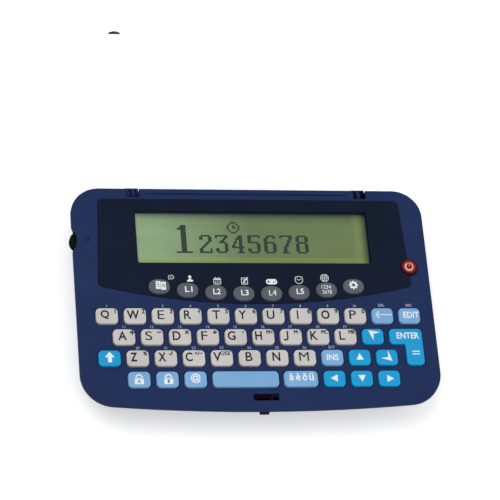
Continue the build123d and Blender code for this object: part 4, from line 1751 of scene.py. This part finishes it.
@dataclass
class FunctionRow:
    """Eight domed rubber ovals on their web, with their printing.

    Attributes:
        count: Number of ovals.
        pitch: Distance from oval to oval.
        shift: How far the row's middle lies from X = 0.
        row_y: Y of the row's foremost point.
        row_radius: Radius of the arc that the row follows.
        length: An oval's size along X.
        breadth: Its size along Y.
        fullness: 2 for a true ellipse, more for fuller shoulders.
        edge_round: Radius of its top edge.
        edge_steps: Segments of that edge.
        crown: How far its middle stands above its edge.
        web_thickness: Thickness of the web.
        web_overlap: How far the web reaches past the ovals.
        web_steps: Segments of the web's long sides.
        stem_radius: Radius of the stems under the web.
        stem_root: How far a stem reaches into the web.
        number_box: Width and height of the numbered ovals' words.
        number_shift: Where their middle lies from the oval's middle.
        number_weight: How much they are thickened, in font units.
        pictures: Picture and its shift on the ovals that have one.
    """

    count: int = 8
    pitch: float = 10.15
    shift: float = 0.6
    row_y: float = 1.3
    row_radius: float = 224.0
    length: float = 7.8
    breadth: float = 5.9
    fullness: float = 2.25
    edge_round: float = 0.55
    edge_steps: int = 4
    crown: float = 0.08
    web_thickness: float = 0.9
    web_overlap: float = 0.55
    web_steps: int = 32
    stem_radius: float = 1.1
    stem_root: float = 0.1
    number_box: Point = (2.7, 2.2)
    number_shift: Point = (0.3, 0.15)
    number_weight: float = 0.016
    pictures: dict[int, tuple[Icon, Point]] = field(default_factory=lambda: {
        0: (Icon.BOOK, (0.5, 0.2)),
        6: (Icon.TEXT_GRID, (-0.1, 0.0)),
        7: (Icon.GEAR, (-0.1, 0.35)),
    })

    def arc_y(self, x: float) -> float:
        """Give the row's Y over an X."""
        return self.row_y + x * x / (2 * self.row_radius)

    def place(self, index: int) -> Point:
        """Give an oval's middle."""
        x = (index - (self.count - 1) / 2) * self.pitch + self.shift
        return x, self.arc_y(x)

    def oval_mesh(self, bottom: float, top: float) -> bpy.types.Mesh:
        """Make one oval about the origin, its shoulder rounded and its top crowned.

        Args:
            bottom: Height of its foot.
            top: Height of its crown.

        Returns:
            The oval's mesh, in metres.
        """
        outline = ellipse(self.length, self.breadth, 48, self.fullness)
        shoulder = top - self.crown
        levels = [(outline, bottom), (outline, shoulder - self.edge_round)]
        for step in range(1, self.edge_steps + 1):
            turn = math.radians(90 * step / self.edge_steps)
            inset = self.edge_round * (1 - math.cos(turn))
            height = shoulder - self.edge_round * (1 - math.sin(turn))
            levels.append((drawn_in(outline, inset), height))
        half = self.breadth / 2 - self.edge_round
        for share in (0.75, 0.5, 0.25):
            inset = self.edge_round + half * (1 - share)
            levels.append((drawn_in(outline, inset), shoulder + self.crown * (1 - share**2)))
        form = bmesh.new()
        stacked(form, levels)
        return mesh_only(finish_mesh(form, "oval_seed", 50.0))

    def build(self) -> None:
        """Grow the ovals along their arc, add their web and stems, and print them."""
        box = Box.of(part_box("function_button_strip"))
        self.build_ovals(web_top(), box.high.z)
        self.build_web(web_top(), box.low.z)
        self.print_ovals(box.high.z)
        LOG.info("function row")

    def build_ovals(self, bottom: float, top: float) -> None:
        """Grow the ovals on the points of their arc.

        Args:
            bottom: Height of their feet.
            top: Height of their crowns.
        """
        growth = Growth("oval_row", {"Ovals": self.count, "Pitch": self.pitch * MM,
                                     "Shift": self.shift * MM, "Row": self.row_y * MM,
                                     "Arc Radius": self.row_radius * MM})
        line = growth.add("GeometryNodeMeshLine", mode="OFFSET")
        growth.join(growth.size("Ovals"), line.inputs["Count"])
        index = growth.add("GeometryNodeInputIndex").outputs[0]
        step = growth.math("SUBTRACT", index, (self.count - 1) / 2)
        x = growth.math("MULTIPLY_ADD", step, growth.size("Pitch"), growth.size("Shift"))
        bend = growth.math("DIVIDE", growth.math("MULTIPLY", x, x),
                           growth.math("MULTIPLY", growth.size("Arc Radius"), 2.0))
        y = growth.math("ADD", bend, growth.size("Row"))
        settle = growth.add("GeometryNodeSetPosition")
        growth.join(line.outputs["Mesh"], settle.inputs["Geometry"])
        growth.join(growth.point(x, y), settle.inputs["Position"])
        copies = growth.copies(settle.outputs["Geometry"], growth.start.outputs["Geometry"])
        ovals = growth.run("function_ovals", self.oval_mesh(bottom, top), copies,
                           Palette.OVAL_KEY)
        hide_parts("function_button_strip")
        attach(ovals, "function_buttons")

    def build_web(self, top: float, stem_end: float) -> None:
        """Build the web that joins the ovals under the panel, with their stems.

        Args:
            top: Height of the web's top.
            stem_end: Height of the stems' ends.
        """
        form = bmesh.new()
        half = self.breadth / 2 + self.web_overlap
        reach = self.length / 2 + self.web_overlap
        first, last = self.place(0)[0] - reach, self.place(self.count - 1)[0] + reach
        bottom = top - self.web_thickness
        along = [first + (last - first) * step / self.web_steps
                 for step in range(self.web_steps + 1)]
        outline = [(x, self.arc_y(x) - half) for x in along]
        outline += [(x, self.arc_y(x) + half) for x in reversed(along)]
        stacked(form, [(outline, bottom), (outline, top)])
        for index in range(self.count):
            cylinder(form, self.place(index), self.stem_radius, stem_end,
                     bottom + self.stem_root, 16)
        web = finish_mesh(form, "function_web")
        dress(web, Palette.OVAL_KEY)
        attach(web, "function_buttons")

    def print_ovals(self, top: float) -> None:
        """Print the ovals' pictures and words.

        Args:
            top: Height of the ovals' crowns.
        """
        places = [self.place(index) for index in range(self.count)]

        def crown(x: float, y: float) -> float:
            """Height of the nearest oval's top over a point."""
            near = min(places, key=lambda p: math.dist(p, (x, y)))
            far = math.hypot((x - near[0]) / self.length, (y - near[1]) / self.breadth) * 2
            return top - self.crown * min(far, 1.0) ** 2

        sheet = PrintSheet("oval_printing", (Palette.WHITE_INK, Palette.GREY_INK), crown, 0.06)
        for index, place in enumerate(places):
            if index in self.pictures:
                icon, shift = self.pictures[index]
                print_icon(sheet, icon, moved(place, shift))
            else:
                sheet.words(f"L{index}", moved(place, self.number_shift), *self.number_box,
                            self.number_weight)
        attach(sheet.done(), "function_buttons")


@dataclass
class PanelPrinting:
    """White pictures on the panel and small white marks on the case.

    Attributes:
        pictures: Where each picture on the panel has its middle.
        mark_height: Height of the numbers over the letter keys.
        mark_shift: Where a number's middle lies from its key's middle along X.
        mark_lift: Where it lies from the key's back edge along Y.
        key_lip: How far a key's flange stands out behind its back edge.
        bare: The letter key without a number.
        words: Where the words over three other keys have their middle.
        word_box: Width and height of such a word.
        word_weight: How much it is thickened, in font units.
        contrast_sign: Middle of the half-filled ring beside the wheel.
        ring_radius: Its radius.
        ring_stroke: Width of its line.
    """

    pictures: tuple[tuple[Icon, Point], ...] = (
        (Icon.BUBBLE, (-30.4, 7.9)), (Icon.PERSON, (-23.6, 7.3)), (Icon.CALENDAR, (-13.75, 6.4)),
        (Icon.NOTE, (-3.8, 6.4)), (Icon.GAMEPAD, (6.1, 6.15)), (Icon.CLOCK, (16.2, 6.85)),
        (Icon.GLOBE, (25.75, 7.7)),
    )
    mark_height: float = 1.0
    mark_shift: float = 0.2
    mark_lift: float = 1.05
    key_lip: float = 0.6
    bare: str = "w"
    words: tuple[tuple[str, Point], ...] = (
        ("DEL", (45.75, -3.0)), ("ESC", (56.05, -3.0)), ("EXT", (25.85, -19.35)),
    )
    word_box: Point = (2.3, 1.0)
    word_weight: float = 0.01
    contrast_sign: Point = (-59.9, 22.95)
    ring_radius: float = 1.1
    ring_stroke: float = 0.22

    def build(self, names: Iterable[str]) -> None:
        """Print the panel's pictures and the case's marks.

        Args:
            names: The keys' node names.
        """
        panel_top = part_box("display_panel")[1].z / MM
        sheet = PrintSheet("panel_pictures", (Palette.WHITE_INK, Palette.PANEL),
                           lambda x, y: panel_top)
        for icon, at in self.pictures:
            print_icon(sheet, icon, at)
        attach(sheet.done(), "case")

        case_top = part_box("upper_case")[1].z / MM
        marks = PrintSheet("case_marks", (Palette.MARK_INK, Palette.SHADOW_INK),
                           lambda x, y: case_top)
        letters = [node for node in names if len(node.removeprefix("key_")) == 1]
        for number, node in enumerate(letters, 1):
            if node.removeprefix("key_") == self.bare:
                continue
            box = Box.of(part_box(node))
            back_edge = (box.middle[0], box.high.y - self.key_lip)
            marks.words(str(number), moved(back_edge, (self.mark_shift, self.mark_lift)),
                        letter_width(str(number), self.mark_height), self.mark_height)
        for words, at in self.words:
            marks.words(words, at, *self.word_box, self.word_weight)
        marks.ring(self.ring_radius, self.ring_stroke, self.contrast_sign, 1)
        marks.fill(arc(self.ring_radius, -90, 90), self.contrast_sign, 1)
        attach(marks.done(), "case")
        LOG.info("printing on the case, %d marks", len(letters))


@dataclass
class PowerButton:
    """Round red button with a dark rim, a domed face and a printed sign.

    Attributes:
        flange: How far the flange under the panel stands out.
        web: Thickness of that flange.
        stem_radius: Radius of the stem.
        rim_width: Width of the rim.
        rim_bevel: Bevel of its outer edge.
        dome_height: Height of the dome over the face's edge.
        face_lift: How far the face's edge stands above the rim.
        face_lap: How far the face reaches under the rim's inner edge.
        face_root: How far it reaches down into the rim.
        face_rings: Rings of the dome.
        rings_to_axis: Ring widths from the face's edge to its middle, which stays a small flat.
        sign_shift: Where the sign's middle lies from the button's middle.
    """

    flange: float = 0.75
    web: float = 0.9
    stem_radius: float = 1.1
    rim_width: float = 0.75
    rim_bevel: float = 0.25
    dome_height: float = 0.75
    face_lift: float = 0.12
    face_lap: float = 0.08
    face_root: float = 0.3
    face_rings: int = 11
    rings_to_axis: float = 10.4
    sign_shift: Point = (-0.35, -0.35)

    def build(self) -> None:
        """Build the rim and the domed face, and print the sign."""
        box = Box.of(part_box("power_button"))
        centre, bottom, top = box.middle, box.low.z, box.high.z
        outer = (box.high.x - box.low.x) / 2
        radius = outer - self.flange
        rim_top = top - self.dome_height - self.face_lift
        flange_top = web_top()
        flange_bottom = flange_top - self.web
        rim = [(self.stem_radius, bottom), (self.stem_radius, flange_bottom),
               (outer, flange_bottom), (outer, flange_top), (radius, flange_top),
               (radius, rim_top - self.rim_bevel), (radius - self.rim_bevel, rim_top),
               (radius - self.rim_width, rim_top)]
        body = self.turned_form("power_rim", rim, centre)
        dress(body, Palette.POWER_RIM)
        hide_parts("power_button")
        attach(body, "power_button")

        face_radius = radius - self.rim_width + self.face_lap
        sphere = (face_radius**2 + self.dome_height**2) / (2 * self.dome_height)
        middle_z = top - sphere

        def dome(x: float, y: float) -> float:
            """Height of the dome over a point."""
            far = min((x - centre[0]) ** 2 + (y - centre[1]) ** 2, face_radius**2)
            return middle_z + math.sqrt(sphere**2 - far)

        profile = [(face_radius, rim_top - self.face_root)]
        for step in range(self.face_rings):
            reach = face_radius * (1 - step / self.rings_to_axis)
            profile.append((reach, middle_z + math.sqrt(sphere**2 - reach**2)))
        face = self.turned_form("power_face", profile, centre)
        sign_place = moved(centre, self.sign_shift)
        # The face's material paints light in its middle and shade towards its edge.
        face.data.materials.append(GlossyDome("power_red_shaded", sign_place, face_radius).material())
        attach(face, "power_button")

        sheet = PrintSheet("power_sign", (Palette.POWER_HOLLOW, Palette.RED_INK), dome, 0.05, 0.2)
        print_icon(sheet, Icon.POWER, sign_place)
        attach(sheet.done(), "power_button")
        LOG.info("power button")

    def turned_form(self, name: str, profile: Sequence[Point], centre: Point) -> Piece:
        """Turn a profile of radius and height about an upright axis.

        Args:
            name: The object's name.
            profile: Radius and height pairs from the bottom to the top.
            centre: The axis.

        Returns:
            The closed solid.
        """
        form = bmesh.new()
        stacked(form, [(circle(r, 56), z) for r, z in profile], centre)
        return finish_mesh(form, name, 30.0)


@dataclass
class LatchSpring:
    """Steel coil behind the release button, shown at its rest length; the real coil shortens as the
    button goes back.

    Attributes:
        wire: Thickness of the wire.
        turns: Number of turns.
        travel: How far the button goes; not used.
        steps: Segments of a turn.
        sides: Segments round the wire.
    """

    wire: float = 0.25
    turns: int = 6
    travel: float = 1.0
    steps: int = 20
    sides: int = 10

    def build(self) -> None:
        """Sweep the wire round the coil and fix the coil to the case."""
        box = Box.of(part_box("latch_spring"))
        half_wire = self.wire / 2
        radius = (box.high.x - box.low.x) / 2 - half_wire
        middle_x = box.middle[0]
        middle_z = (box.low.z + box.high.z) / 2
        length = box.high.y - box.low.y
        count = self.turns * self.steps
        form = bmesh.new()
        rings = []
        for step in range(count + 1):
            turn = math.tau * step / self.steps
            y = box.low.y + half_wire + (length - self.wire) * step / count
            rings.append([form.verts.new((middle_x + (radius + out) * math.cos(turn), y + back,
                                          middle_z + (radius + out) * math.sin(turn)))
                          for out, back in circle(half_wire, self.sides)])
        tube_faces(form, rings)
        coil = finish_mesh(form, "latch_coil", 50.0)
        dress(coil, Palette.STEEL)
        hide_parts("latch_spring")
        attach(coil, "case")
        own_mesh(coil)
        LOG.info("latch spring of %d turns", self.turns)


@dataclass
class ContrastWheel:
    """Thumbwheel with a knurled edge, grown rib by rib.

    Attributes:
        ribs: Number of ribs.
        rib_depth: How far a rib stands out.
        rib_width: Width of a rib.
        chamfer: Bevel of the body's edges.
        bore: Radius of the hole for the axle.
    """

    ribs: int = 44
    rib_depth: float = 0.22
    rib_width: float = 0.28
    chamfer: float = 0.25
    bore: float = 1.05

    def build(self) -> None:
        """Grow the ribs round the wheel's body."""
        box = Box.of(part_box("contrast_wheel"))
        x, y = box.middle
        bottom, top = box.low.z, box.high.z
        inner = (box.high.x - box.low.x) / 2 - self.rib_depth
        bevel = self.chamfer
        profile = [(self.bore, bottom), (inner - bevel, bottom), (inner, bottom + bevel),
                   (inner, top - bevel), (inner - bevel, top), (self.bore, top)]
        form = bmesh.new()
        rings = [[form.verts.new((out + x, back + y, z)) for out, back in
                  circle(r, 2 * self.ribs)] for r, z in profile]
        ring_faces(form, [*rings, rings[0]])
        body = mesh_only(finish_mesh(form, "wheel_seed", 30.0))

        growth = Growth("knurl", {"Ribs": self.ribs, "Radius": inner * MM,
                                  "Depth": 2 * self.rib_depth * MM, "Width": self.rib_width * MM,
                                  "Height": (top - bottom - 2 * bevel) * MM})
        track = growth.add("GeometryNodeMeshCircle", fill_type="NONE")
        growth.join(growth.size("Ribs"), track.inputs["Vertices"])
        growth.join(growth.size("Radius"), track.inputs["Radius"])
        aim = growth.add("FunctionNodeAlignRotationToVector", axis="X")
        growth.join(growth.add("GeometryNodeInputPosition").outputs[0], aim.inputs["Vector"])
        ribs = growth.copies(track.outputs["Mesh"], growth.bar("Depth", "Width", "Height"),
                             aim.outputs[0])
        move = growth.add("GeometryNodeTransform")
        move.inputs["Translation"].default_value = (x * MM, y * MM, (bottom + top) / 2 * MM)
        growth.join(ribs, move.inputs["Geometry"])
        both = growth.add("GeometryNodeJoinGeometry")
        growth.join(move.outputs[0], both.inputs[0])
        growth.join(growth.start.outputs["Geometry"], both.inputs[0])
        wheel = growth.run("contrast_wheel_knurled", body, both.outputs[0], Palette.WHEEL)
        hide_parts("contrast_wheel")
        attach(wheel, "contrast_wheel")
        LOG.info("contrast wheel with %d ribs", self.ribs)


@dataclass
class DisplayDots:
    """Plain figures on the display, drawn dot by dot.

    Attributes:
        left: Where the first figure starts.
        front: Where the figures stand.
        pitch: Distance from dot to dot.
        dot: Size of a dot.
        thickness: Thickness of a dot.
        gap: Empty dots between figures.
        dial: Where the small dial stands above the figures, in dots.
        figures: Each figure's rows from the top.
        dial_rows: The dial's rows from the top.
    """

    left: float = -27.2
    front: float = 18.6
    pitch: float = 0.66
    dot: float = 0.64
    thickness: float = 0.04
    gap: int = 2
    dial: tuple[int, int] = (29, 12)
    figures: tuple[str, ...] = (
        "...###..... ..####..... .#####..... ...###..... ...###..... ...###..... ...###..... "
        "...###..... ...###..... ...###..... ...###..... ...###..... ...###..... ...###..... "
        "...###..... ...###..... #########..",
        ".#####. ##...## ##...## .....## ....##. ...##.. ..##... .##.... ##....# ##....# #######",
        "####### #....## ....##. ...##.. ..####. .....## .....## .....## ##...## ##...## .#####.",
        "....##. ...###. ..####. ..#.##. .##.##. .#..##. ##..##. ####### ....##. ....##. ...####",
        "####### ##....# ##..... ##..... ######. .....## .....## .....## ##...## ##...## .#####.",
        "..####. .##..## ##..... ##..... ######. ##...## ##...## ##...## ##...## ##...## .#####.",
        "####### #....## .....## ....##. ....##. ...##.. ...##.. ..##... ..##... ..##... .####..",
        ".#####. ##...## ##...## ##...## .#####. ##...## ##...## ##...## ##...## ##...## .#####.",
    )
    dial_rows: str = "..###.. .#...#. #..#..# #..##.# #.....# .#...#. ..###.."

    def lit(self, rows: str, across: int, up: int) -> list[Point]:
        """Give the dark dots of one figure.

        Args:
            rows: The figure's rows from the top.
            across: Its first column.
            up: Its lowest row.

        Returns:
            Column and row of every dark dot.
        """
        lines = rows.split()
        return [(across + column, up + len(lines) - 1 - row) for row, line in enumerate(lines)
                for column, mark in enumerate(line) if mark == "#"]

    def places(self, top: float) -> list[Place]:
        """Give the middle of every dark dot.

        Args:
            top: Height of the display glass.

        Returns:
            The places.
        """
        spots = self.lit(self.dial_rows, *self.dial)
        across = 0
        for figure in self.figures:
            spots += self.lit(figure, across, 0)
            across += figure.index(" ") + self.gap
        return [(self.left + (column + 0.5) * self.pitch, self.front + (row + 0.5) * self.pitch,
                 top) for column, row in spots]

    def build(self) -> None:
        """Grow the dots on their places."""
        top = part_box("lcd_module")[1].z / MM
        growth = Growth("dot_matrix", {"Dot": self.dot * MM, "Thickness": self.thickness * MM})
        copies = growth.copies(growth.start.outputs["Geometry"],
                               growth.bar("Dot", "Dot", "Thickness"))
        dots = growth.run("display_dots", points_mesh("dot_places", self.places(top)), copies,
                          Palette.DOT)
        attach(dots, "case")
        LOG.info("display figures")


@dataclass
class CoverBumper:
    """Small dark rubber dome let into the rounded corner of the cover's free edge.

    Attributes:
        left: Where its flat back starts, with the cover shut.
        right: Where the flat back ends.
        back: Where the flat back lies.
        bulge: How far the dome reaches from its flat back.
        bottom: Height of its inner face.
        top: Height of its outer face.
    """

    left: float = -59.9
    right: float = -55.8
    back: float = -39.1
    bulge: float = 0.9
    bottom: float = 18.6
    top: float = 19.2

    def build(self) -> None:
        """Build the dome on the shut cover and fold it back with the cover."""
        half = (self.right - self.left) / 2
        radius = (half**2 + self.bulge**2) / (2 * self.bulge)
        spread = math.degrees(math.asin(half / radius))
        centre = ((self.left + self.right) / 2, self.back + radius - self.bulge)
        outline = arc(radius, -90 - spread, -90 + spread, 16, centre)
        form = bmesh.new()
        stacked(form, [(outline, self.bottom), (outline, self.top)])
        hinge = Matrix.Translation((0.0, *HINGE))
        turn = Matrix.Rotation(math.radians(-OPEN_ANGLE), 4, "X")
        form.transform(hinge @ turn @ hinge.inverted())
        pad = finish_mesh(form, "cover_bumper", 30.0)
        dress(pad, Palette.BUMPER)
        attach(pad, "lid")
        LOG.info("cover bumper")


@dataclass
class Studio:
    """Pale floor, soft light and the camera.

    Attributes:
        eye: Where the camera stands, in metres.
        right: The direction that the camera sees as right.
        up: The direction that it sees as up.
        lens: Its focal length, in millimetres.
        sensor: Width of its sensor, in millimetres.
        sky: Strength of the sky's light.
        floor_size: Side of the floor, in metres.
        floor_glow: Light of its own that the camera sees on the floor.
        lamps: Name, place, side in metres and power in watts of each lamp.
    """

    eye: Place = (-0.18665, -0.37055, 0.8366)
    right: Place = (0.9796897, -0.0815, 0.1832)
    up: Place = (-0.0048, 0.9040, 0.4276)
    lens: float = 185.2
    sensor: float = 36.0
    sky: float = 0.62
    floor_size: float = 30.0
    floor_glow: float = 0.35
    lamps: tuple[tuple[str, Place, float, float], ...] = (
        ("key_light", (-0.5, 0.35, 1.5), 1.2, 9.0), ("fill_light", (0.9, -0.7, 1.2), 1.0, 4.0))

    def camera(self) -> None:
        """Create the camera at its place and make it the scene's."""
        data = bpy.data.cameras.new("camera")
        data.sensor_width = self.sensor
        data.sensor_fit = "HORIZONTAL"
        data.lens = self.lens
        data.clip_end = 100.0
        camera = bpy.data.objects.new("camera", data)
        bpy.context.scene.collection.objects.link(camera)
        right = Vector(self.right).normalized()
        up = Vector(self.up)
        back = right.cross(up).normalized()
        up = back.cross(right).normalized()
        turn = Matrix((right, up, back)).transposed().to_4x4()
        camera.matrix_world = Matrix.Translation(Vector(self.eye)) @ turn
        bpy.context.scene.camera = camera

    def world(self) -> None:
        """Light the object from a soft even sky and show white behind it."""
        world = bpy.data.worlds.new("studio")
        world.use_nodes = True
        world.node_tree.nodes.clear()
        tree = Tree(world.node_tree)
        ray = tree.add("ShaderNodeLightPath").outputs
        mirrored = tree.math("MAXIMUM", ray["Is Glossy Ray"], ray["Is Transmission Ray"])
        seen = tree.math("MAXIMUM", ray["Is Camera Ray"], mirrored)
        level = tree.add("ShaderNodeMapRange")
        level.inputs["To Min"].default_value = self.sky
        tree.join(seen, level.inputs["Value"])
        sky = tree.add("ShaderNodeBackground")
        sky.inputs["Color"].default_value = (1.0, 1.0, 1.0, 1.0)
        tree.join(level.outputs[0], sky.inputs["Strength"])
        tree.join(sky.outputs[0], tree.add("ShaderNodeOutputWorld").inputs["Surface"])
        bpy.context.scene.world = world

    def lamp(self, name: str, place: Place, size: float, power: float) -> None:
        """Add a square lamp that faces the object.

        Args:
            name: The lamp's name.
            place: Where it hangs, in metres.
            size: Its side in metres.
            power: Its power in watts.
        """
        data = bpy.data.lights.new(name, "AREA")
        data.shape = "SQUARE"
        data.size = size
        data.energy = power
        lamp = bpy.data.objects.new(name, data)
        lamp.location = place
        lamp.rotation_euler = (-Vector(place)).to_track_quat("-Z", "Y").to_euler()
        bpy.context.scene.collection.objects.link(lamp)

    def floor(self) -> None:
        """Lay a pale floor that stays white in view and keeps the object's shadow."""
        half = self.floor_size / 2
        mesh = bpy.data.meshes.new("floor")
        mesh.from_pydata([(-half, -half, 0), (half, -half, 0), (half, half, 0), (-half, half, 0)],
                         [], [(0, 1, 2, 3)])
        floor = to_object("floor", mesh)
        nodes = Nodes("floor_white")
        tone = nodes.spread(nodes.noise(3.0))
        base = nodes.blend(tone, (246, 246, 246), (250, 250, 250))
        ray = nodes.add("ShaderNodeLightPath").outputs
        glow = nodes.span(ray["Is Camera Ray"], 0.0, 1.0, 0.0, self.floor_glow)
        nodes.set(Base_Color=base, Roughness=0.9, Specular_IOR_Level=0.0,
                  Emission_Color=(1.0, 1.0, 1.0, 1.0), Emission_Strength=glow)
        floor.data.materials.append(nodes.material)

    def build(self) -> None:
        """Set up camera, light and floor."""
        bpy.context.scene.view_settings.view_transform = "Standard"
        self.camera()
        self.world()
        for lamp in self.lamps:
            self.lamp(*lamp)
        self.floor()
        LOG.info("studio")


def main() -> None:
    """Build the dictionary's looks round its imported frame."""
    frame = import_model()
    names = [node for body in frame["record"]["behaviour"]["bodies"].values() for node in body
             if node.startswith("key_") and node != "key_mat"]
    Studio().build()
    Frame(frame["nodes"]).build()
    Keyboard().build(names)
    FunctionRow().build()
    PanelPrinting().build(names)
    PowerButton().build()
    LatchSpring().build()
    ContrastWheel().build()
    DisplayDots().build()
    CoverBumper().build()
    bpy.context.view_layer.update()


if __name__ == "__main__":
    logging.basicConfig(level=logging.INFO, format="%(message)s")
    main()
